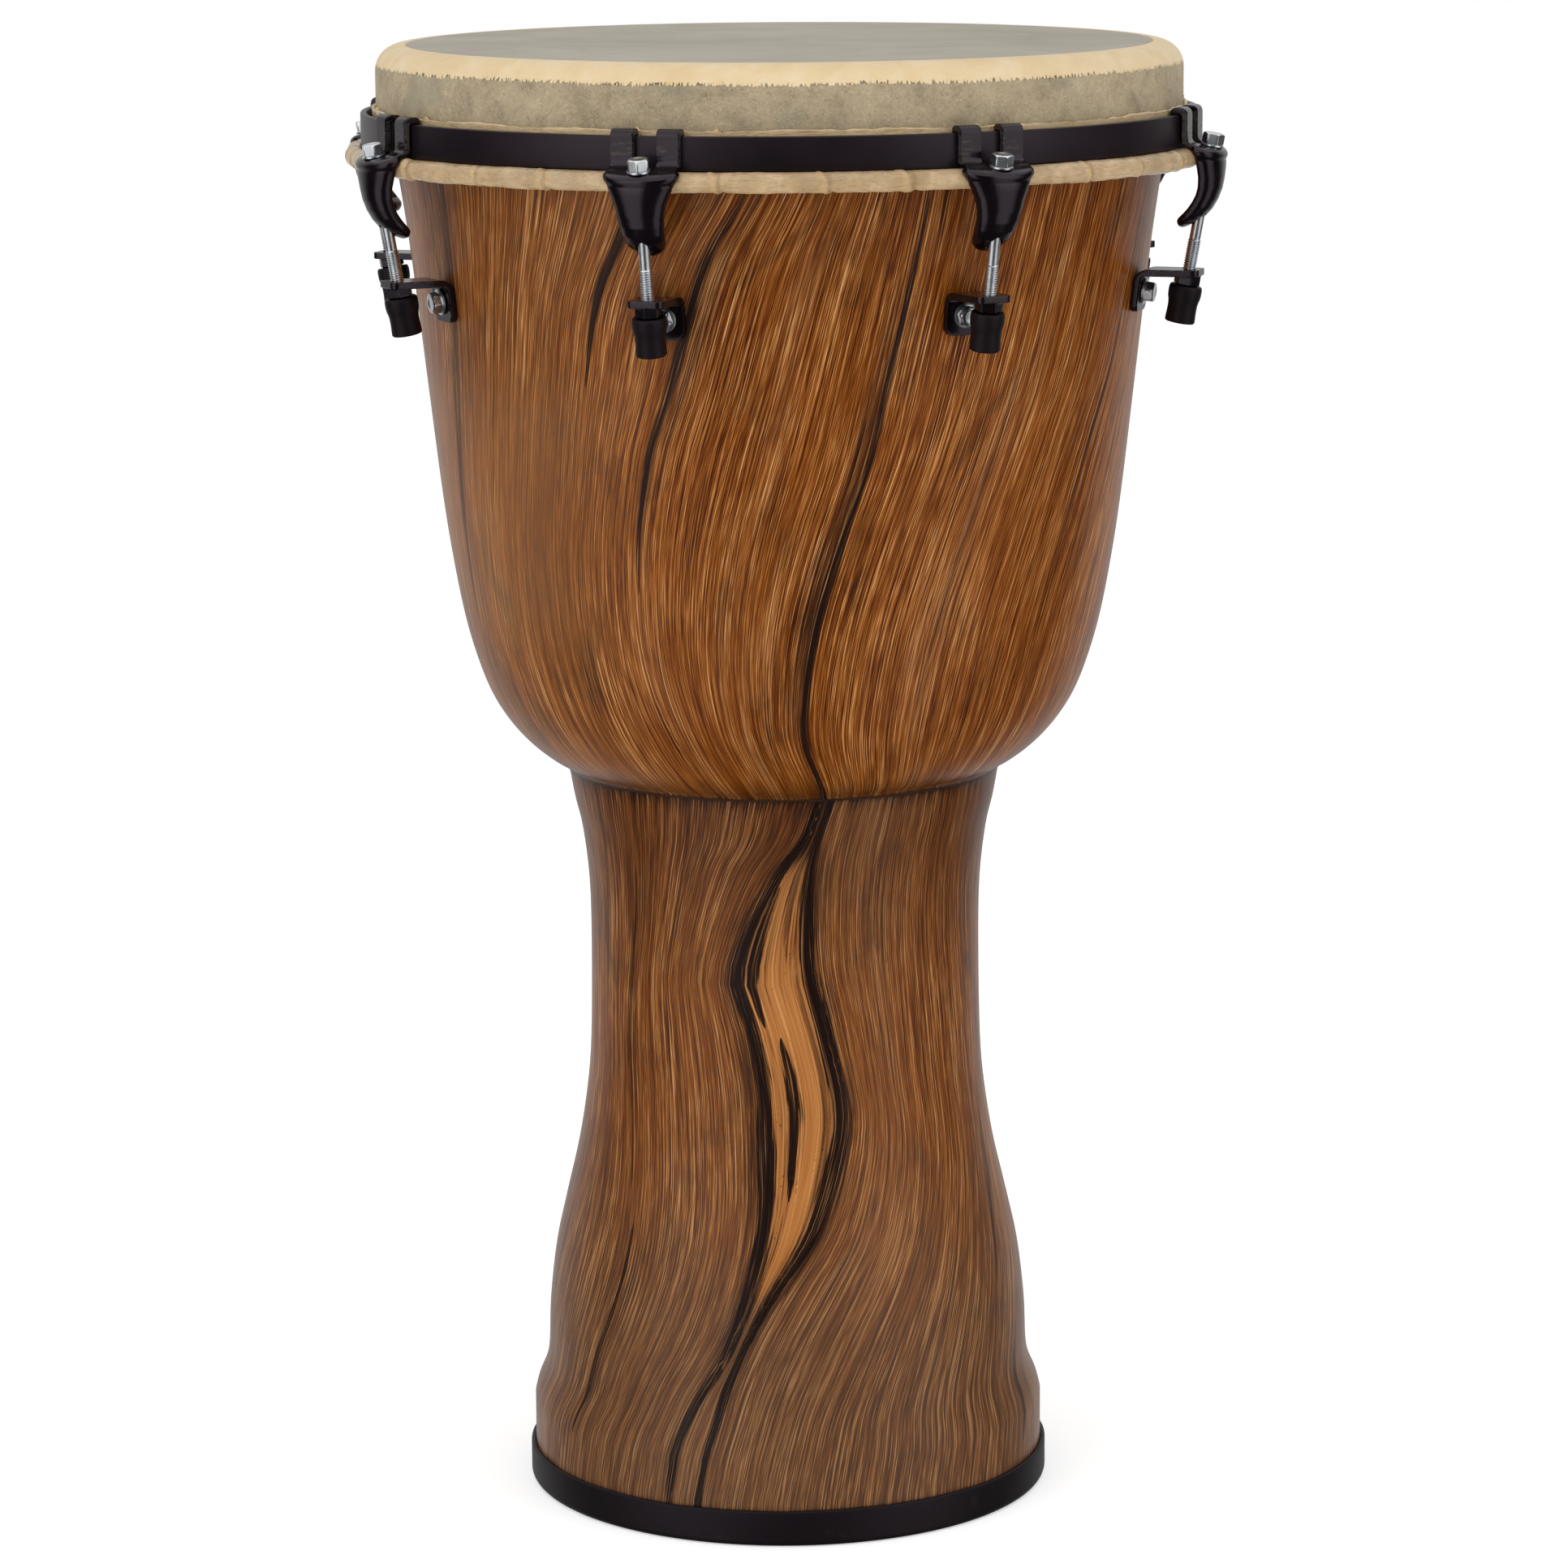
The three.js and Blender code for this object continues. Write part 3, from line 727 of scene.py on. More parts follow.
def brushed_wood(s):
    """One tone from all the strokes, calmer on the bowl's left and busier at the foot, then its zones."""
    left = s.step(s.grain, math.radians(-20), math.radians(-50)) * s.step(s.grain, -2.1, -1.7) * s.bowl
    calm = left * s.step(s.z, 0.53, 0.49) * s.step(s.z, 0.38, 0.42)
    busy = (s.patch * 0.4 + 0.95) * (1.0 - (left * 0.05 + calm * 0.27))
    busy = busy * (s.step(s.z, 0.2, 0.08) * 0.5 + 1.0)
    lines = s.fine * 0.15 + s.finest * 0.66 + s.hairs * 0.27
    slow = s.broad * 0.1 + s.patch * 0.08 + s.medium * 0.04
    color = s.ramp(
        slow + lines * busy + 0.46,
        (0.0, "#2c1002"),
        (0.18, "#4c1f00"),
        (0.33, "#652e01"),
        (0.46, "#783e09"),
        (0.57, "#894d16"),
        (0.7, "#9c6028"),
        (0.82, "#b0753c"),
        (0.98, "#cf9a62"),
    )

    # greyer, browner zones where the brush was nearly dry
    dry = s.step(s.broad + s.patch * 0.5, 0.0, 0.55) * 0.3
    color = s.mix(dry, color, s.mix(0.5, color, "#6a4a35"))
    color = s.mix(s.step(s.smear, 0.1, 0.75) * 0.42, color, "#33200f")
    # painted sheen: the stem is greyed, more so towards the foot, standing in for the lacquer's haze
    color = s.mix(s.stem * (s.step(s.z, 0.2, 0.06) * 0.3 + 0.12), color, "#765c48")
    return s.mix(left * 0.1 + calm * 0.12, color, "#a58462")


def inlay_mask(s):
    """The tan inlay between the two long cracks of the stem."""
    place = s.grain + (s.fine + s.medium) * math.radians(0.9)
    from_left = s.step(place, math.radians(-13.6), math.radians(-12.6))
    from_right = s.step(place, math.radians(0.4), math.radians(-0.6))
    tall = s.step(s.z, 0.100, 0.118) * s.step(s.z, 0.306, 0.294)
    return from_left * from_right * tall * s.stem


def with_inlay(s, color, inlay):
    bare = s.step(s.medium * 0.8 + s.fine + s.smear * 0.5, -1.0, -0.5)
    tan = s.ramp(
        s.finest * 0.3 + s.fine * 0.16 + s.medium * 0.1 + 0.5,
        (0.1, "#7e4c25"),
        (0.4, "#ab6b34"),
        (0.6, "#bd7d42"),
        (0.9, "#d2975e"),
    )
    return s.mix(inlay * bare, color, tan)


def with_painted_shade(s, color):
    """Painted shade on the upper stem, at the bowl's lower end, under the rim and round the crease; the
    whole stem is a little darker, and darker still towards the foot.
    """
    near = s.absolute(s.z - CREASE_Z)
    low_stem = s.step(s.z, 0.19, 0.06) * 0.3
    high_stem = s.stem * (s.step(s.z, 0.225, 0.315) * 0.34 + 0.1)
    bowl_ends = s.step(s.z, 0.42, 0.345) * 0.1 + s.step(s.z, 0.49, 0.57) * 0.07
    # painted shade round the crease
    crease_shade = s.step(near + (s.medium + s.smear) * (4 * MM), 0.017, 0.001) * 0.55
    shade = s.largest(low_stem, high_stem, s.bowl * (bowl_ends + 0.03), crease_shade)
    color = s.mix(shade, color, "#1c0d08")

    below = CREASE_Z + 1.2 * MM - s.z
    tufts = s.step(below + (s.finest + s.fine + s.hairs) * (4.5 * MM), 0.007, 0.001)
    color = s.mix(tufts * s.step(below, 0, 0.8 * MM) * 0.62, color, "#1a0f0b")
    seam = s.step(near + (s.finest + s.smear) * (1.3 * MM), 0.0022, 0.0)
    return s.mix(seam * 0.66, color, "#1a0f0b")


def streak_mask(s, ragged, streaks, crisp):
    """Painted streaks as (dark core, brown haze); the haze lies more to one side of its core."""
    core = 0.0
    haze = 0.0
    for name, low, high, width, dark, lean in streaks:
        away = s.math("WRAP", s.grain - math.radians(name), math.pi, -math.pi) * s.spread
        middle = (low + high) / 2 * MM
        half = (high - low) / 2 * MM
        taper = s.math("SQRT", s.math("SUBTRACT", 1.0, s.absolute(s.z - middle) / half, clamp=True))
        share = away / (taper * (width / 2 * MM) + 1e-6)
        inner = s.absolute(share) + ragged
        outer = s.absolute(share - lean) + ragged * 0.7
        core = s.largest(core, s.step(inner, 1.3 - 0.2 * crisp, 0.4 + 0.5 * crisp) * dark)
        haze = s.largest(haze, s.step(outer, 2.9, 0.5) * taper * dark)
    return core, haze


def with_cracks(s, color):
    """Dark cracks in a brown haze, broken up by the brush."""
    ragged = s.strokes(0.75, 26, 2, 0.6, 7) * 0.62 + s.torn * 0.42
    bowl_core, bowl_haze = streak_mask(s, ragged * 0.7, BOWL_STREAKS, 0.35)
    stem_core, stem_haze = streak_mask(s, ragged, STEM_STREAKS, 0.7)
    core = bowl_core * s.bowl + stem_core * s.stem
    haze = bowl_haze * s.bowl + stem_haze * s.stem
    soft = haze * s.step(s.finest + s.fine, 1.0, -0.6) * 0.66
    color = s.mix(soft, color, "#2c1a10")
    through = s.step(s.fine + s.finest, 0.3, 1.0) * 0.5
    return s.mix(core * (0.97 - through), color, "#170d0b")


def wood_paint():
    """Brushed wood look: fine strokes along the grain, dark cracks, a tan inlay, a satin lacquer."""
    s = WoodPaint()
    inlay = inlay_mask(s)
    color = with_inlay(s, brushed_wood(s), inlay)
    # painted shade on the upper stem, the bowl's ends and round the crease
    color = with_painted_shade(s, color)
    color = with_cracks(s, color)
    # worm-eaten specks in the inlay
    specks = s.step(s.strokes(1.0, 1.5, 1, 0.5, 11), 0.35, 0.6) * s.step(s.torn, 0.25, 0.6)
    color = s.mix(specks * inlay * 0.6, color, "#3a2413")
    relief = s.fine * 0.5 + s.finest * 0.5
    s.surface(Base_Color=color, Roughness=s.patch * 0.04 + 0.3)
    s.surface(Normal=s.bump(relief, 0.05 * MM, 0.3), Specular_IOR_Level=0.13)
    return s.material


def raw_inside():
    """Unpainted inside of the moulding: matt dark brown with a coarse sprayed texture."""
    s = Shader("raw_inside")
    place = s.place()
    blotch = s.noise(place, 18, 4, 0.6)
    pits = s.noise(place, 420, 3, 0.6)
    color = s.ramp(blotch, (0.35, "#1d1512"), (0.65, "#2c211b"))
    s.surface(Base_Color=color, Roughness=0.8, Normal=s.bump(pits, 0.6 * MM, 0.6))
    return s.material


# ---------------------------------------------------------------- other materials

VIOLET = (1.0, 0.84, 0.95, 1)  # cast of the black finishes' reflections


def black_paint():
    """Satin black powder coat with a violet cast, rubbed strap faces and pale sheared edges."""
    s = Shader("black_paint")
    place = s.place()
    z = s.split(place)[2]
    peel = s.noise(place, 900, 3, 0.6)
    cloud = s.noise(place, 60, 3, 0.55)
    scuff = s.noise(s.scaled(place, (160, 160, 700)), 1.0, 4, 0.65)
    chips = s.noise(place, 380, 4, 0.7)
    color = s.ramp(cloud, (0.3, "#070406"), (0.7, "#0d080c"))
    rubbed = s.step(scuff, 0.5, 0.72) * s.step(z, 0.6075, 0.611) * s.step(z, 0.6185, 0.616)
    color = s.mix(rubbed * 0.6, color, "#564c44")
    wear = s.attribute("wear") * s.step(chips, 0.36, 0.5) * s.step(z, 0.6205, 0.619)
    color = s.mix(wear * 0.22, color, "#6d655c")
    rough = 0.13 + cloud * 0.12 + s.largest(wear, rubbed) * 0.2
    s.surface(Base_Color=color, Roughness=rough, Normal=s.bump(peel, 0.06 * MM, 0.2))
    s.surface(Specular_IOR_Level=0.5, Specular_Tint=VIOLET)
    return s.material


def band_paint():
    """The counter hoop's drier black, with faint long rolling marks."""
    s = Shader("band_paint")
    place = s.place()
    cloud = s.noise(place, 25, 3, 0.55)
    rolling = s.noise(s.scaled(place, (40, 40, 1600)), 1.0, 3, 0.6)
    color = s.ramp(cloud, (0.3, "#100a0e"), (0.7, "#1b1218"))
    rough = 0.3 + cloud * 0.14
    s.surface(Base_Color=color, Roughness=rough, Normal=s.bump(rolling, 0.06 * MM, 0.3))
    s.surface(Specular_IOR_Level=0.36, Specular_Tint=VIOLET)
    return s.material


def rubber():
    """Matt black rubber with a moulded grain and pale dust."""
    s = Shader("rubber")
    place = s.place()
    grain = s.noise(place, 1400, 3, 0.65)
    dust = s.noise(place, 130, 4, 0.7)
    color = s.mix(s.step(dust, 0.58, 0.75) * 0.35, "#0e090c", "#241e22")
    s.surface(Base_Color=color, Roughness=0.5, Normal=s.bump(grain, 0.1 * MM, 0.35))
    s.surface(Specular_IOR_Level=0.24, Specular_Tint=VIOLET)
    return s.material


def zinc():
    """Bright zinc plate: faint bluish cast, drawn marks and dull patches."""
    s = Shader("zinc")
    place = s.place()
    cloud = s.noise(place, 160, 2, 0.5)
    marks = s.noise(s.scaled(place, (2600, 2600, 300)), 1.0, 2, 0.5)
    color = s.ramp(cloud, (0.3, "#d2d6dc"), (0.6, "#e6e8ea"), (0.8, "#f0efec"))
    rough = 0.2 + marks * 0.2
    s.surface(Base_Color=color, Metallic=1.0, Roughness=rough, Normal=s.bump(marks, 0.02 * MM, 0.4))
    return s.material


def plain_steel():
    s = Shader("plain_steel")
    place = s.place()
    drawn = s.noise(place, 900, 3, 0.6)
    color = s.ramp(drawn, (0.3, "#6c6a68"), (0.7, "#94918d"))
    s.surface(Base_Color=color, Metallic=1.0, Roughness=0.3 + drawn * 0.3)
    return s.material


def hide_noises(s, place):
    cloud = s.noise(place, 14, 4, 0.6, 0.6)
    mottle = s.noise(place, 70, 5, 0.65, 0.4)
    pores = s.noise(place, 900, 3, 0.6)
    return cloud, mottle, pores


def head_hide():
    """Goatskin head: shaved grey playing circle, cream rim, hair left on the side."""
    s = Shader("head_hide")
    rest = s.attribute("rest", "Vector")
    x, y, z = s.split(rest)
    radius = s.math("SQRT", x * x + y * y)
    cloud, mottle, pores = hide_noises(s, rest)

    # playing surface, with fine hair roots lying across the drum and a faint spine
    roots = s.noise(s.scaled(rest, (60, 1300, 200)), 1.0, 3, 0.6)
    spine = s.absolute(y + (mottle - 0.5) * 0.05)
    grey = s.ramp(cloud, (0.3, "#a39d91"), (0.5, "#aca69a"), (0.7, "#b2aca0"))
    grey = s.mix(s.step(spine, 0.05, 0.0) * 0.15, grey, "#948d80")
    grey = s.mix(s.step(mottle, 0.5, 0.75) * 0.25, grey, "#bab4a6")
    grey = s.mix(s.step(roots, 0.5, 0.33) * 0.2, grey, "#8c857a")

    cream = s.ramp(mottle, (0.3, "#d8be93"), (0.5, "#ddc69e"), (0.75, "#e2cfad"))
    cream = s.mix(s.step(cloud, 0.5, 0.35) * 0.25, cream, "#d2b181")

    hair = s.ramp(mottle, (0.3, "#8c7f68"), (0.48, "#a39379"), (0.72, "#b3a486"))
    lie = s.noise(s.scaled(rest, (620, 620, 760)), 1.0, 4, 0.7, 1.4)
    hair = s.mix(s.step(lie, 0.5, 0.3) * 0.6, hair, "#75664f")
    hair = s.mix(s.step(lie, 0.52, 0.7) * 0.5, hair, "#c6b99c")
    hair = s.mix(s.step(cloud, 0.5, 0.36) * 0.45, hair, "#8b8b77")

    # the clipped edge of the hair is ragged, with dark tips
    teeth = s.noise(s.scaled(rest, (1050, 1050, 80)), 1.0, 1, 0.5)
    sway = s.noise(s.scaled(rest, (22, 22, 0)), 1.0, 2, 0.5)
    edge = teeth * (3.4 * MM) + sway * (2 * MM) + (HEAD_Z - 11.2 * MM)
    is_cream = s.step(z - edge, -0.1 * MM, 0.15 * MM)
    tips = s.step(s.absolute(z - edge), 0.9 * MM, 0.1 * MM) * s.step(teeth, 0.46, 0.62)
    side = s.mix(is_cream, hair, cream)
    side = s.mix(tips * s.step(cloud, 0.65, 0.4), side, "#4f3f2c")

    shaved_edge = RIM - 13.2 * MM + (teeth - 0.5) * (0.5 * MM)
    on_top = s.step(radius, shaved_edge + 0.25 * MM, shaved_edge - 0.25 * MM)
    color = s.mix(on_top, side, grey)

    height = pores * 0.3 + lie * (1.0 - is_cream) * 1.2
    rough = 0.5 + (1.0 - is_cream) * 0.3
    rough = s.largest(rough, on_top * 0.85)
    s.surface(Base_Color=color, Roughness=rough, Normal=s.bump(height, 0.25 * MM, 0.5))
    s.surface(Specular_IOR_Level=0.3 - on_top * 0.27)
    s.surface(Subsurface_Weight=0.12, Subsurface_Radius=(0.004, 0.002, 0.001), Subsurface_Scale=0.5)
    return s.material


def wrap_hide():
    """Dried raw hide round the flesh hoop: translucent tan and glossy, with painted highlight on the raised
    folds and painted shade in the creases beside them.
    """
    s = Shader("wrap_hide")
    rest = s.attribute("rest", "Vector")
    fold = s.attribute("fold")
    cloud, mottle, pores = hide_noises(s, rest)
    fibre = s.noise(s.scaled(rest, (260, 260, 1100)), 1.0, 4, 0.65, 0.4)
    color = s.ramp(mottle, (0.28, "#a88d63"), (0.5, "#bfa27a"), (0.75, "#d8bd94"))
    color = s.mix(s.step(fibre, 0.52, 0.32) * 0.4, color, "#8a7453")
    color = s.mix(s.step(cloud, 0.55, 0.7) * 0.35, color, "#958f78")
    # painted highlight on the raised folds
    color = s.mix(fold * 0.6, color, "#cba974")
    # painted shade in the creases beside the folds
    color = s.mix(s.attribute("pinch") * 0.5, color, "#86693f")
    color = s.mix(s.step(s.split(rest)[2], 0.616, 0.619) * 0.6, color, "#d6bd93")
    rough = 0.45 - mottle * 0.25
    wrinkle = s.noise(s.scaled(rest, (120, 120, 420)), 1.0, 4, 0.65, 1.2)
    relief = fibre * 0.7 + pores * 0.3 + wrinkle * 3.0
    s.surface(Base_Color=color, Roughness=rough, Normal=s.bump(relief, 0.5 * MM, 0.8))
    s.surface(Coat_Weight=0.6, Coat_Roughness=0.16)
    s.surface(Subsurface_Weight=0.15, Subsurface_Radius=(0.004, 0.002, 0.001), Subsurface_Scale=0.5)
    return s.material


BLACK = black_paint()
BAND = band_paint()
RUBBER = rubber()
ZINC = zinc()
HIDE = head_hide()
WRAP = wrap_hide()


# ---------------------------------------------------------------- foot ring


def rubber_foot():
    segments = 256
    inner = FOOT_OUTER - 2.2 * MM - WALL
    outline = in_metres([(-2.2, 1.0), (-1.4, 0.2), (-0.4, 0)], inner)
    outline += arc(FOOT_OUTER - 3.2 * MM, 3.2 * MM, 3.2 * MM, -90, 0, 7)
    outline += arc(FOOT_OUTER - 1.1 * MM, FOOT_HIGH - 1.1 * MM, 1.1 * MM, 0, 90, 4)
    outline += in_metres([(-1.9, -0.2), (-1.95, -1)], FOOT_OUTER, FOOT_HIGH)
    outline += in_metres([(-1.95, 3.0)], FOOT_OUTER)
    outline += in_metres([(-0.2, 3.0), (-0.2, 11.6), (-0.8, 12), (-1.8, 12), (-2.3, 11.4)], inner)
    radius, height = swept(outline, segments)
    angle = angles_round(segments)
    wave = 0.12 * MM * (np.sin(5 * angle + 1) + 0.6 * np.sin(13 * angle) + 0.5 * np.sin(29 * angle + 2))
    height += (height > 10 * MM) * wave
    obj = link("rubber_foot", ring_mesh("rubber_foot", radius, height), [RUBBER], 40)
    stand_in(obj, SHELL_BODY, "foot_ring")


# ---------------------------------------------------------------- skin


def waves(angle, rng, count, lowest, highest):
    """A repeatable uneven edge: a few sine waves round the drum, about 1 high in total."""
    total = np.zeros_like(angle)
    for _ in range(count):
        n = rng.randint(lowest, highest)
        total += math.sqrt(lowest / n) * np.sin(n * angle + rng.uniform(0, TAU))
    return total / math.sqrt(count)


def hide_head():
    """Playing surface, bend over the rim and the side that the hoop pulls down."""
    segments = 384
    skin = 1.0 * MM
    centre = RIM - HIDE_BEND
    top_rows = [(r * MM, HEAD_Z) for r in (0, 20, 45, 70, 95, 118, 138, 152, 160)]
    over = arc(centre, HEAD_Z - HIDE_BEND, HIDE_BEND, 90, 0, 12)
    side = [(RIM, z * MM) for z in (634, 631, 628, 625, 621, 617, 612.2)]
    under = [(RIM - skin, z * MM) for z in (612.2, 617, 621, 625, 628, 631, 634)]
    inner = arc(centre, HEAD_Z - HIDE_BEND, HIDE_BEND - skin, 0, 90, 12)
    inner_top = [(r * MM, HEAD_Z - skin) for r in (152, 95, 45, 0)]
    radius, height = swept(top_rows + over + side + under + inner + inner_top, segments)
    first = len(top_rows + over)
    uneven = waves(angles_round(segments), random.Random(4), 5, 4, 24)
    radius[first : first + len(side)] += 0.18 * MM * uneven
    mesh = ring_mesh("hide_head", radius, height, closed=False)
    store_vector(mesh, "rest", vertex_array(mesh))
    obj = link("hide_head", mesh, [HIDE], 60)
    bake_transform(obj)
    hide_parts("drumhead_skin")


def crease_angles(rng):
    """Places where the wrapped hide is pleated, at uneven distances round the hoop."""
    angles = []
    at = 0.0
    while at < TAU - 0.1:
        angles.append(at)
        at += rng.uniform(18, 52) * MM / BEAD_RING
    return angles


def pleats(angle, rng):
    """At each angle: how far the hide swells, and how far it is a fold or a pinch beside one."""
    swell = np.zeros_like(angle)
    fold = np.zeros_like(angle)
    pinch = np.zeros_like(angle)
    for at in crease_angles(rng):
        distance = ((angle - at + math.pi) % TAU - math.pi) * BEAD_RING
        width = rng.uniform(0.8, 1.6) * MM
        ridge = np.exp(-((distance / width) ** 2))
        crease = np.exp(-(((distance - 2.2 * width) / (0.7 * width)) ** 2))
        swell += rng.uniform(0.3, 0.9) * ridge - 0.6 * crease
        fold = np.maximum(fold, ridge)
        pinch = np.maximum(pinch, crease)
    return swell, fold, pinch


def room_beside_bolts(angle):
    """How far the wrap may swell: pressed in behind each bolt, free between them."""
    apart = TAU / len(STATIONS)
    from_bolt = np.abs((angle - station_angle(1) + apart / 2) % apart - apart / 2) * BEAD_RING
    return -0.55 * MM + 1.05 * MM * np.clip((from_bolt - 5 * MM) / (5 * MM), 0, 1)


def hide_wrap():
    """Hide round the flesh hoop, pleated like bamboo; its trimmed flap stands inside the counter hoop."""
    segments = 1440
    rng = random.Random(11)
    angle = angles_round(segments)
    swell, fold, pinch = pleats(angle, rng)
    swell += 0.35 * waves(angle, rng, 6, 9, 60)
    fine = 0.12 * waves(angle, rng, 8, 80, 300)

    section = np.radians(np.linspace(-150, 150, 25))
    bead = arc(BEAD_RING, BEAD_Z, BEAD_ROUND - 0.2 * MM, -150, 150, 24)
    inside = arc(BEAD_RING, BEAD_Z, FLESH_ROD + 0.25 * MM, 150, -150, 24)

    flap_outer = RIM + 1.75 * MM
    flap_inner = RIM + 0.35 * MM
    flap_edge = 0.75 * waves(angle, rng, 7, 5, 24) + 0.2 * waves(angle, rng, 8, 60, 260)
    flap_edge += 1.6 * fold * (waves(angle, rng, 4, 5, 12) > 0)
    flap_top = BAND_HIGH + MM * (2.1 + np.clip(flap_edge, -1.3, 1.9))
    ones = np.ones(segments)

    rows = []

    def row(r, z):
        rows.append((r * ones, z * ones))

    row(flap_inner, flap_top - 0.4 * MM)
    for z in (617, 611, 604, 600):
        row(flap_inner, z * MM)
    row(180.5 * MM, 597.4 * MM)
    pleat = (swell + fine) * 0.9 * MM
    room = room_beside_bolts(angle)
    for a, (r, z) in zip(section, bead):
        exposed = np.clip((a + 2.2) / 0.6, 0, 1) * np.clip((1.9 - a) / 0.5, 0, 1)
        phase = np.interp((angle + 0.009 * math.sin(a)) % TAU, angle, pleat, period=TAU)
        push = np.minimum(phase, room) * exposed
        rows.append((r + push * math.cos(a), z + push * math.sin(a)))
    for r, z in inside:
        row(r, z)
    row(181.0 * MM, 599.4 * MM)
    row(flap_outer, 602 * MM)
    for z in (606, 611, 616, 619.5):
        row(flap_outer, z * MM)
    lap = 0.25 * MM * fold
    rows.append((flap_outer + lap + 0.1 * MM * waves(angle, rng, 6, 20, 120), 621 * MM * ones))
    rows.append((flap_outer + lap, flap_top - 0.5 * MM))
    rows.append(((flap_outer + flap_inner) / 2 * ones, flap_top))

    radius = np.array([r for r, _ in rows])
    height = np.array([z for _, z in rows])
    mesh = ring_mesh("hide_wrap", radius, height, closed=True)
    v = vertex_array(mesh)
    store_vector(mesh, "rest", v)
    at = np.arctan2(v[:, 0], -v[:, 1]) % TAU
    # masks for the wrap's painted highlight on the folds and painted shade in the creases
    store_number(mesh, "fold", np.interp(at, angle, fold, period=TAU))
    store_number(mesh, "pinch", np.interp(at, angle, pinch, period=TAU))
    obj = link("hide_wrap", mesh, [WRAP], 60)
    stand_in(obj, HOOP_BODY, "skin_wrap")


def flesh_rod():
    outline = arc(BEAD_RING, BEAD_Z, FLESH_ROD - 0.05 * MM, 0, 360, 16)[:-1]
    obj = link("flesh_rod", turned("flesh_rod", outline, 192), [plain_steel()], 60)
    stand_in(obj, HOOP_BODY, "flesh_hoop")


def steel_band():
    inner = BAND_OUTER - 2.8 * MM
    bevel = 0.6 * MM
    outline = arc(BAND_OUTER - bevel, BAND_LOW + bevel, bevel, -90, 0, 3)
    outline += [(BAND_OUTER, (BAND_LOW + BAND_HIGH) / 2)]
    outline += arc(BAND_OUTER - bevel, BAND_HIGH - bevel, bevel, 0, 90, 3)
    outline += arc(inner + bevel, BAND_HIGH - bevel, bevel, 90, 180, 3)
    outline += arc(inner + bevel, BAND_LOW + bevel, bevel, 180, 270, 3)
    obj = link("steel_band", turned("steel_band", outline, 384), [BAND], 40)
    stand_in(obj, HOOP_BODY, "counter_hoop")


# ---------------------------------------------------------------- claw

# Sections of the horn from below its rim to the tip, in mm:
# outer (radius, height), inner (radius, height), half width.
HORN = [
    ((199.2, 598.7), (188.0, 600.6), 14.1),
    ((199.2, 596.5), (188.9, 597.0), 12.8),
    ((198.8, 592.0), (189.2, 592.4), 10.9),
    ((197.9, 587.2), (188.9, 588.2), 9.9),
    ((196.1, 582.6), (187.9, 584.8), 9.4),
    ((193.6, 578.4), (186.4, 582.0), 9.0),
    ((190.6, 575.2), (184.5, 579.3), 8.6),
    ((187.2, 573.0), (182.6, 577.2), 8.1),
    ((183.9, 571.3), (181.0, 575.7), 7.2),
    ((181.5, 570.4), (179.8, 574.6), 6.0),
    ((180.0, 570.5), (179.1, 573.6), 4.2),
    ((179.3, 571.2), (178.9, 572.6), 2.2),
]

# The horn's rolled rim: distance below the seat plane, inset from the widest outline, half width, in mm.
HORN_RIM = [
    (0, 4.0, 14.2),
    (0.25, 2.6, 15.0),
    (0.9, 1.3, 15.7),
    (1.8, 0.4, 16.1),
    (2.7, 0.0, 16.0),
    (3.5, 0.1, 15.6),
    (4.2, 0.3, 15.1),
    (4.9, 0.45, 14.6),
]


def horn_section(outer, inner, half_width, columns=64):
    """A D-shaped ring of points: widest near its back, with a round front."""
    outer = np.array(outer)
    inner = np.array(inner)
    depth = np.linalg.norm(outer - inner)
    out = (outer - inner) / depth
    widest = inner + 0.34 * depth * out
    ring = []
    for j in range(columns):
        a = TAU * j / columns
        c, s = math.cos(a), math.sin(a)
        reach = 0.66 * depth * s if s > 0 else -0.34 * depth * (-s) ** 0.4
        x = half_width * math.copysign(abs(c) ** (0.96 if s > 0 else 0.4), c)
        r, z = widest + reach * out
        ring.append((x * MM, -r * MM, z * MM))
    return ring


def horn_rim():
    """Sections of the rolled rim, level with the bolt's seat."""
    down = np.array((-math.sin(LEAN), -math.cos(LEAN)))
    out = np.array((math.cos(LEAN), -math.sin(LEAN)))
    seat = np.array((SEAT_RADIUS, SEAT_Z)) / MM
    sections = []
    for drop, inset, half_width in HORN_RIM:
        outer = seat + down * drop + out * (6.9 - inset)
        inner = seat + down * drop - out * (6.4 - 0.3 * inset)
        sections.append((tuple(outer), tuple(inner), half_width))
    return sections


def claw_horn():
    """The horn, hollow behind, with room for the hide's bead and for the bolt."""
    horn = loft("horn", [horn_section(*section) for section in horn_rim() + HORN])
    hollow_sections = []
    for outer, inner, half_width in HORN[1:8]:
        outer = np.array(outer)
        inner = np.array(inner)
        inwards = (inner - outer) / np.linalg.norm(outer - inner)
        hollow_sections.append(horn_section(outer + inwards * 2.6, inner + inwards * 9, half_width - 2.4))
    hollow = loft("hollow", hollow_sections)
    hollow.transform(Matrix.Translation((0, 0, -1.4 * MM)))
    bead = turned("bead", arc(BEAD_RING, BEAD_Z, BEAD_ROUND + 0.5 * MM, 0, 360, 24)[:-1], 256)
    bolt_hole = on_bolt_axis(round_bar("hole", in_metres([(3.3, -40), (3.3, 8)]), 24), SEAT_Z)
    return cut(horn, hollow, bead, bolt_hole)


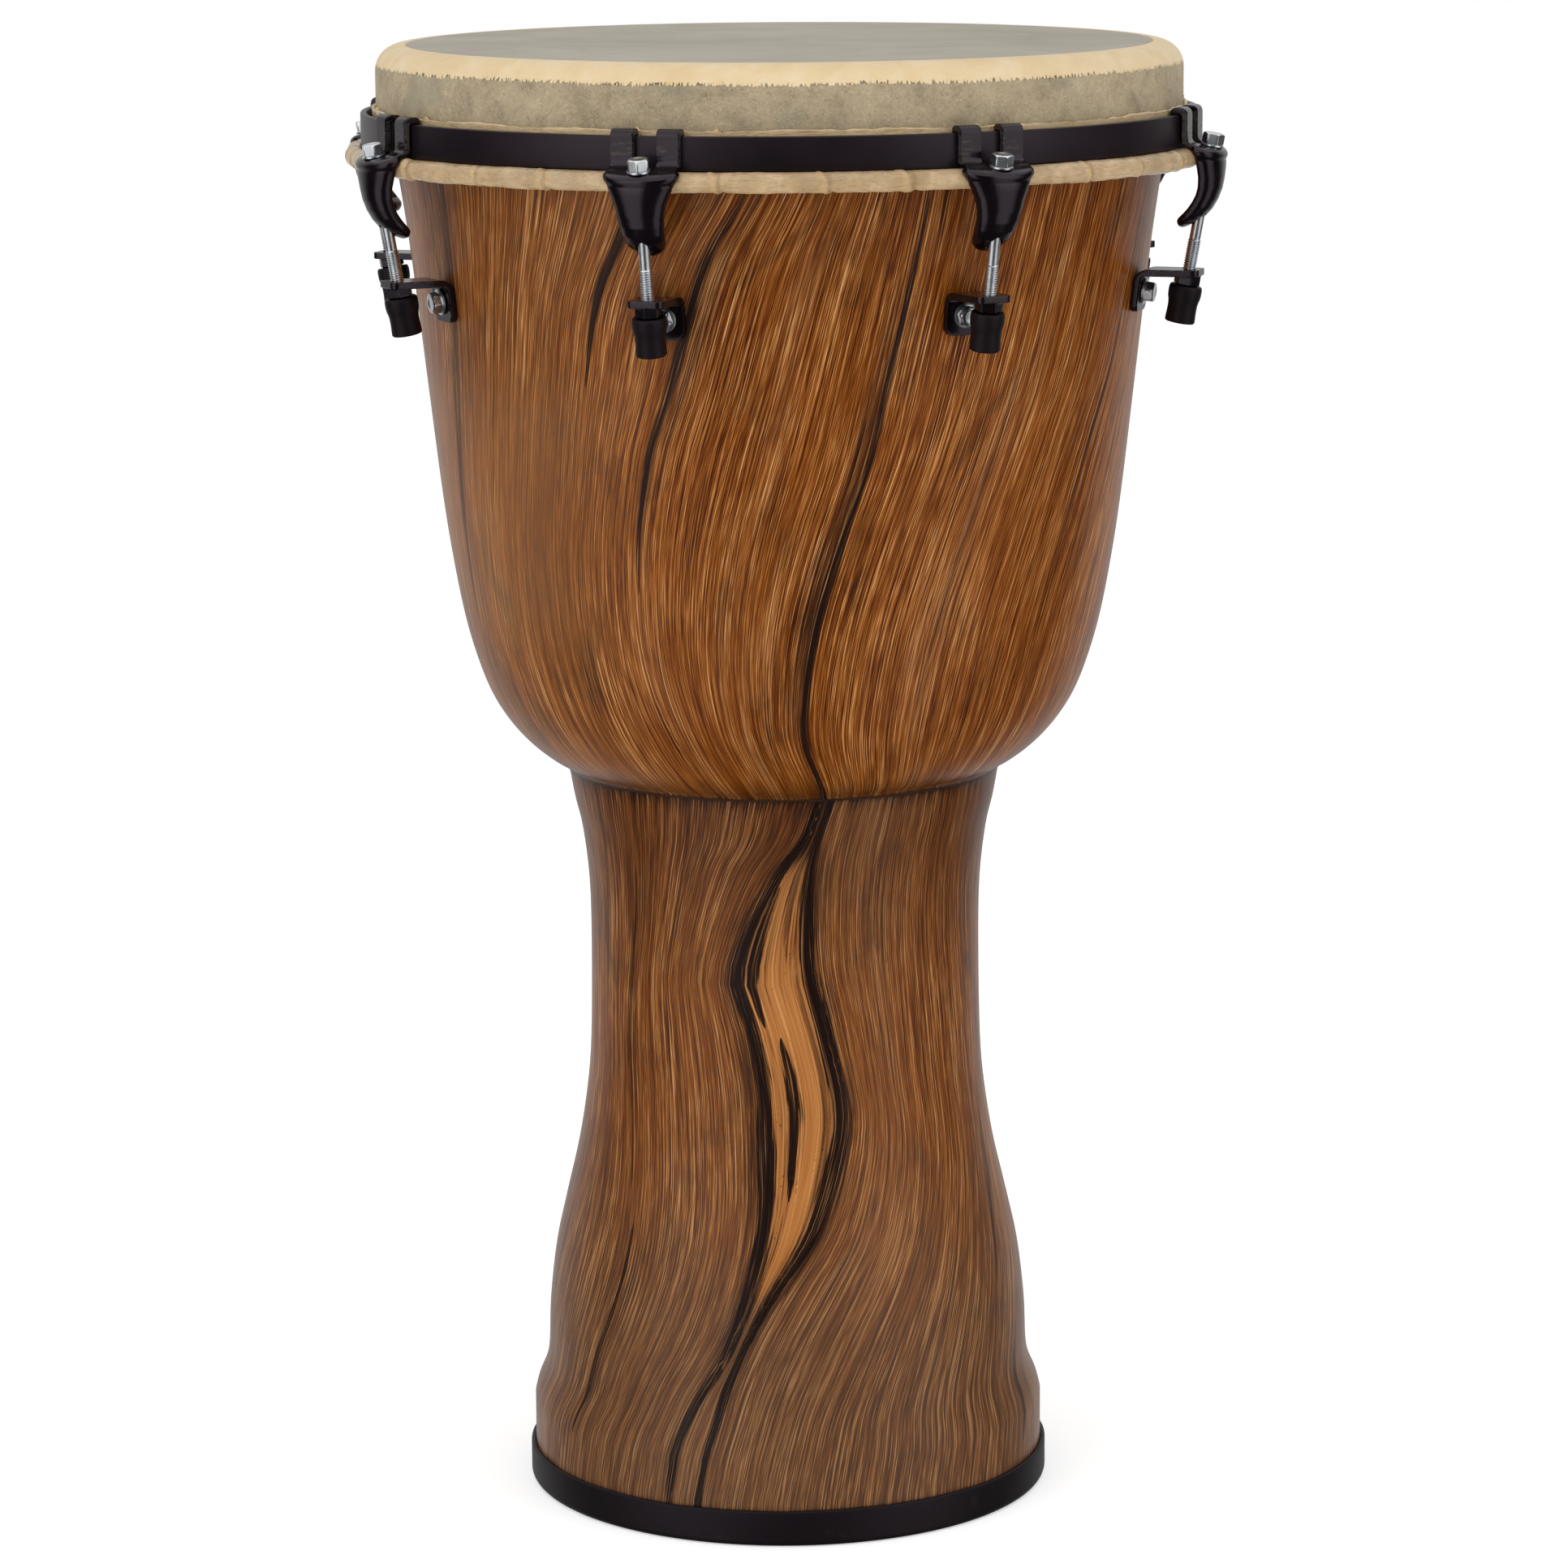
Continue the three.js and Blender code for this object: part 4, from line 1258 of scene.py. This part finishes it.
def claw_straps():
    """Two straps, bent from the horn's top up over the counter hoop."""
    face = BAND_OUTER / MM + 0.3
    lip = BAND_OUTER / MM - 2.8 - 0.35
    over = BAND_HIGH / MM + 0.3
    thick = 2.7
    inside = [(lip - 1.6, over - 4.6), (lip, over - 4.6), (lip, over - 0.6), (lip + 0.6, over)]
    inside += [(face - 0.8, over), (face, over - 0.8), (face, 609.4)]
    inside += arc(face + 2.8, 608.2, 2.8, 180, 262, 5)[1:]
    inside += [(189.6, 604.4), (191, 603.8)]
    outside = [(192.4, 605.2), (190.2, 606.3)]
    outside += arc(face + thick + 2.4, 609.4, 2.4, 262, 180, 6)
    outside += [(face + thick, 612)]
    outside += arc(face + thick - 2.9, over + thick - 2.9, 2.9, 0, 90, 7)
    outside += arc(lip - 1.6 + 2.4, over + thick - 2.4, 2.4, 90, 180, 6)
    outline = in_metres(inside + outside)
    straps = [side_slab("strap", outline, x * MM, (x + 9.8) * MM) for x in (-14.7, 4.9)]
    band_outline = in_metres([(-3.15, -0.3), (0.25, -0.3)], BAND_OUTER, BAND_LOW)
    band_outline += in_metres([(0.25, 0.25), (-3.15, 0.25)], BAND_OUTER, BAND_HIGH)
    band = turned("band", band_outline, 256)
    return [cut(strap, band) for strap in straps]


def cast_claw_mesh():
    mesh = cast(joined("cast_claw", claw_horn(), *claw_straps()), 0.34 * MM, 3, 0.45)
    store_wear(mesh, 607 * MM)
    return mesh


def store_wear(mesh, above):
    """Marks faces sheared across the station, which lose their paint first."""
    normals = np.empty(len(mesh.vertices) * 3, dtype=np.float32)
    mesh.vertices.foreach_get("normal", normals)
    sideways = np.abs(normals.reshape(-1, 3)[:, 0])
    height = vertex_array(mesh)[:, 2]
    store_number(mesh, "wear", np.clip((sideways - 0.93) / 0.05, 0, 1) * (height > above))


# ---------------------------------------------------------------- bolt, washer, cap, bracket

PITCH = 1.0 * MM  # of an M6 thread
SHANK = 2.42 * MM
THREAD = 2.83 * MM  # radius over the crests
THREAD_DEPTH = 0.58 * MM
THREAD_HOLE = 3.15 * MM
HEAD_FLATS = 8.2 * MM
UNDER_HEAD = 1.25 * MM  # the washer's top, above the seat


def chamfered_head(name, flats, height, chamfer, floor_round=0.25 * MM):
    corner = flats / 2 / math.cos(math.pi / 6)
    outline = [
        (corner - floor_round, 0),
        (corner, floor_round),
        (corner, height - chamfer * 0.62),
        (corner - chamfer * 0.35, height - chamfer * 0.34),
        (corner - chamfer * 0.8, height - chamfer * 0.08),
        (corner - chamfer * 1.2, height),
        (corner * 0.45, height),
        (corner * 0.4, height - 0.12 * MM),
        (corner * 0.1, height - 0.14 * MM),
    ]
    return hex_mesh(name, flats, outline)


def threaded_rod(length, radius, depth, columns=24, rows_per_turn=6):
    """A screw thread from z = -length to 0 with a real helix."""
    rows = int(length / PITCH * rows_per_turn)
    sections = []
    for i in range(rows + 1):
        z = -length + length * i / rows
        ends = min(1, i / 6, (rows - i) / 6)
        ring = []
        for j in range(columns):
            turn = (z / PITCH - j / columns) % 1
            crest = 1 - abs(2 * turn - 1)
            r = radius - depth + depth * min(1, 1.35 * crest) * ends
            a = TAU * j / columns
            ring.append((r * math.cos(a), r * math.sin(a), z))
        sections.append(ring)
    return loft("thread", sections)


def along_bolt(z):
    """Distance along the leaning bolt from under its head to height z."""
    return (z - SEAT_Z - UNDER_HEAD) / math.cos(LEAN)


def tension_bolt_mesh():
    head = chamfered_head("head", HEAD_FLATS, 4.6 * MM, 1.1 * MM)
    shank_end = along_bolt(565.8 * MM)
    bolt_end = along_bolt(537.3 * MM)
    shank = round_bar("shank", [(SHANK, shank_end), (SHANK, 0.5 * MM)], 32)
    thread = threaded_rod(shank_end - bolt_end, THREAD, THREAD_DEPTH)
    thread.transform(Matrix.Translation((0, 0, shank_end + 0.05 * MM)))
    mesh = joined("tension_bolt", head, shank, thread)
    return on_bolt_axis(mesh, SEAT_Z + UNDER_HEAD)


def washer_mesh():
    outer = 5.0 * MM
    outline = in_metres([(0, 0.15), (0.15, 0)], THREAD_HOLE)
    outline += in_metres([(-0.25, 0), (0, 0.25), (-0.1, 0.85), (-0.4, 1.0)], outer)
    outline += in_metres([(0.2, 1.0), (0, 0.8)], THREAD_HOLE)
    return on_bolt_axis(turned("steel_washer", outline, 64), SEAT_Z + 0.12 * MM)


def cap_mesh():
    """Rubber cap: wide mouth, a waist, and a slightly flared closed end."""
    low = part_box("bolt_cap_1")[0][2]
    bottom = low + 1.15 * MM
    outline = in_metres([(0, 0), (5.2, 0), (6.1, 0.15), (6.5, 0.7), (6.45, 2.4), (6.3, 5.4), (6.35, 8)])
    outline += in_metres([(6.6, 9.6), (7.0, 11), (7.15, 12.6), (7.15, 14.8), (6.95, 15.8), (6.5, 16.3)])
    outline += in_metres([(5.0, 16.4), (4.65, 16.2), (4.62, 13.2), (4.4, 13.05)])
    outline += [(THREAD_HOLE, 13 * MM), (THREAD_HOLE, 2 * MM), (0, 1.8 * MM)]
    return on_bolt_axis(turned("rubber_cap", outline, 64, closed=False), bottom)


PLATE_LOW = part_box("lug_bracket_1")[0][2]
SHELF_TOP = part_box("lug_bracket_1")[1][2]
LUG_Z = 543 * MM
SHELF_END = 189.4 * MM
WALL_LEAN = math.atan2(bowl_radius(0.555) - bowl_radius(0.531), 0.024)


def on_wall(mesh, stand_off):
    """Moves a mesh built on +Z so that it points out of the shell's wall at the lug bolt."""
    place = Matrix.Translation((0, -bowl_radius(LUG_Z), LUG_Z))
    turn = Matrix.Rotation(math.pi / 2 + WALL_LEAN, 4, "X")
    mesh.transform(place @ turn @ Matrix.Translation((0, 0, stand_off)))
    return mesh


def bracket_mesh():
    t = 3.0
    top = SHELF_TOP / MM
    low = PLATE_LOW / MM
    lean = math.tan(WALL_LEAN)
    back = bowl_radius(LUG_Z) / MM + 0.35

    def back_at(z):
        return back + (z - LUG_Z / MM) * lean

    end = SHELF_END / MM
    bend = 6.2
    side = [(back_at(low), low), (back_at(low) + t, low), (back_at(top - 7) + t, top - 7)]
    side += arc(back_at(top - t) + t + 1.8, top - t - 1.8, 1.8, 180, 90, 4)[1:]
    side += [(end, top - t), (end, top)]
    side += arc(back_at(top - bend) + bend, top - bend, bend, 90, 180, 7)
    strip = side_slab("strip", in_metres(side), -8.75 * MM, 8.75 * MM)
    strip = rounded_strip(strip, low, top, end)
    nut_low = 546.0 * MM
    nut = on_bolt_axis(chamfered_head("nut", 10 * MM, 4.6 * MM, 0.9 * MM), nut_low)
    collar = on_bolt_axis(round_bar("collar", in_metres([(4.25, -2.9), (4.25, 1)]), 32), nut_low)
    hole = on_bolt_axis(round_bar("hole", [(THREAD_HOLE, -12 * MM), (THREAD_HOLE, 14 * MM)], 24), nut_low)
    lug_hole = on_wall(round_bar("hole", in_metres([(3.2, -3), (3.2, 8)]), 24), 0)
    mesh = cast(joined("steel_bracket", strip, nut, collar), 0.33 * MM, 2, 1)
    mesh = modified(cut(mesh, hole, lug_hole), "DECIMATE", ratio=0.5)
    return mesh


def rounded_strip(strip, low, top, end):
    """Cuts the strip's lower corners and its shelf's end round, and narrows the shelf."""
    tools = []
    for side in (-1, 1):
        corner = [(8.75, low - 1), (8.75 + 4, low - 1), (8.75 + 4, low + 4), (8.75, low + 4)]
        corner += arc(8.75 - 4, low + 4, 4, 0, -90, 6)[1:]
        corner += [(4.75, low - 1)]
        ring = [[(side * x * MM, -r * MM, z * MM) for x, z in corner] for r in (150, 178)]
        tools.append(loft("corner", ring))
        plan = [(8.9, 168), (13, 168), (13, end + 3), (0.5, end + 3), (0.5, end + 0.2)]
        plan += [(4.4, end)] + arc(7.9 - 3, end - 3, 3, 90, 0, 5)
        ring = [[(side * x * MM, -r * MM, z * MM) for x, r in plan] for z in (top - 8, top + 4)]
        tools.append(loft("plan", ring))
    return cut(strip, *tools)


def lug_bolt_mesh():
    """Flanged hex bolt outside, washer and nut run up inside."""
    stand = 3.0 * MM + 0.65 * MM
    flange_outline = in_metres([(5.2, 0), (5.6, 0.25), (5.6, 0.6), (4.6, 1.25), (3, 1.5)])
    flange = round_bar("flange", flange_outline, 64)
    head = chamfered_head("head", HEAD_FLATS, 4.9 * MM, 1.2 * MM)
    head.transform(Matrix.Rotation(0.35, 4, "Z"))
    rod = round_bar("rod", in_metres([(2.9, -17), (2.9, 0.6)]), 32)
    washer = round_bar("washer", in_metres([(5.8, -12.1), (6, -11.9), (6, -11.1)]), 48)
    nut = chamfered_head("nut", 10 * MM, 4.2 * MM, 0.9 * MM)
    nut.transform(Matrix.Translation((0, 0, -12 * MM)) @ Matrix.Rotation(math.pi, 4, "X"))
    return on_wall(joined("flange_bolt", flange, head, rod, washer, nut), stand)


def station_pieces():
    """(name, mesh, material, body, CAD node, slot) of each piece of a station."""
    return [
        ("cast_claw", cast_claw_mesh(), BLACK, HOOP_BODY, "claw", "black_steel"),
        ("threaded_bolt", tension_bolt_mesh(), ZINC, "bolt_body", "tension_bolt", "zinc_steel"),
        ("steel_washer", washer_mesh(), ZINC, "washer_body", "washer", "zinc_steel"),
        ("rubber_cap", cap_mesh(), RUBBER, SHELL_BODY, "bolt_cap", "black_rubber"),
        ("steel_bracket", bracket_mesh(), BLACK, SHELL_BODY, "lug_bracket", "black_steel"),
        ("flange_bolt", lug_bolt_mesh(), ZINC, SHELL_BODY, "lug_bolt", "zinc_steel"),
    ]


def tuning_stations():
    rng = random.Random(8)
    for name, mesh, material, body, node, slot in station_pieces():
        mesh.materials.clear()
        for k in STATIONS:
            copy = mesh.copy()
            if body == "bolt_body":
                spin = Matrix.Rotation(rng.uniform(0, math.pi / 3), 4, BOLT_AXIS)
                pivot = Matrix.Translation((0, -SEAT_RADIUS, SEAT_Z))
                copy.transform(pivot @ spin @ pivot.inverted())
            copy.transform(Matrix.Rotation(station_angle(k), 4, "Z"))
            obj = link(f"{name}_{k}", copy, [material], 32)
            own_body = f"{body}_{k}" if body in ("bolt_body", "washer_body") else body
            stand_in(obj, own_body, f"{node}_{k}")


# ---------------------------------------------------------------- stage


def surroundings():
    """A white cove. Mirror-like rays see a dim studio with side boxes, a top box and the white backdrop."""
    world = bpy.data.worlds.new("studio")
    bpy.context.scene.world = world
    world.use_nodes = True
    world.cycles.sampling_method = "NONE"
    n = Nodes(world.node_tree)
    x, y, z = n.split(n.value("ShaderNodeTexCoord", output="Generated"))
    in_gloss = n.value("ShaderNodeLightPath", output="Is Glossy Ray")
    in_camera = n.value("ShaderNodeLightPath", output="Is Camera Ray")
    away = n.absolute(n.math("ARCTAN2", x, y * -1.0))
    backdrop = n.step(y, 0.25, 0.85) * 0.62
    box = n.step(away, 0.38, 0.6) * n.step(away, 1.5, 1.1)
    box = box * n.step(z, -0.9, -0.7) * n.step(z, 0.8, 0.6)
    bright = n.step(z, -0.25, 0.1) * 0.5 + 0.7 + n.step(x, 0.1, -0.1) * 0.15
    over = n.step(z, 0.45, 0.65)
    seen_in_gloss = n.largest(n.largest(backdrop, box * bright), 0.03 + over)
    fill = 0.64 + n.step(y, 0.6, -0.8) * 0.1
    strength = in_gloss * (seen_in_gloss - fill) + fill
    strength = n.largest(strength, in_camera)
    background = n.value("ShaderNodeBackground", Color=(1, 1, 1, 1), Strength=strength)
    n.node("ShaderNodeOutputWorld", Surface=background)


def floor():
    s = Shader("floor_paint")
    grain = s.noise(s.place(), 8, 2, 0.5)
    paint = s.mix(grain, (0.86, 0.86, 0.86, 1), (0.9, 0.9, 0.9, 1))
    s.surface(Base_Color=paint, Roughness=0.9, Specular_IOR_Level=0.1)
    s.surface(Emission_Color=(1, 1, 1, 1), Emission_Strength=0.45)
    s.material.cycles.emission_sampling = "NONE"
    bm = bmesh.new()
    bmesh.ops.create_circle(bm, cap_ends=True, radius=9, segments=96)
    mesh = bpy.data.meshes.new("floor")
    bm.to_mesh(mesh)
    bm.free()
    obj = link("floor", mesh, [s.material], 0)
    obj.visible_glossy = False


def soft_light(name, place, size, power):
    data = bpy.data.lights.new(name, "AREA")
    data.shape = "RECTANGLE"
    data.size = size
    data.size_y = size * 1.4
    data.energy = power
    light = bpy.data.objects.new(name, data)
    bpy.context.scene.collection.objects.link(light)
    light.location = place
    light.visible_glossy = False
    aim = Vector((0, 0, 0.38)) - Vector(place)
    light.rotation_euler = aim.to_track_quat("-Z", "Y").to_euler()


def studio():
    surroundings()
    floor()
    soft_light("left_light", (-1.9, -1.7, 1.5), 1.6, 14.5)
    soft_light("right_light", (2.0, -1.5, 1.4), 1.6, 9.3)
    soft_light("top_light", (0.0, -0.4, 2.6), 1.6, 9)


def camera():
    """A long lens a little above the drum, 5.3 degrees round to the left and looking 10.7 degrees down."""
    distance = 2.4204
    height = 0.7768
    around = math.radians(-5.296)
    down = math.radians(10.736)
    roll = math.radians(-0.371)
    data = bpy.data.cameras.new("camera")
    data.sensor_width = 36
    data.lens = 126.343
    obj = bpy.data.objects.new("camera", data)
    bpy.context.scene.collection.objects.link(obj)
    obj.location = (distance * math.sin(around), -distance * math.cos(around), height)
    tilt = Matrix.Rotation(math.pi / 2 - down, 4, "X") @ Matrix.Rotation(roll, 4, "Z")
    obj.rotation_euler = (Matrix.Rotation(around, 4, "Z") @ tilt).to_euler()
    data.clip_end = 50
    bpy.context.scene.camera = obj


painted_shell()
rubber_foot()
hide_head()
hide_wrap()
flesh_rod()
steel_band()
tuning_stations()
studio()
camera()

view = bpy.context.scene.view_settings
view.view_transform = "Standard"
view.look = "None"
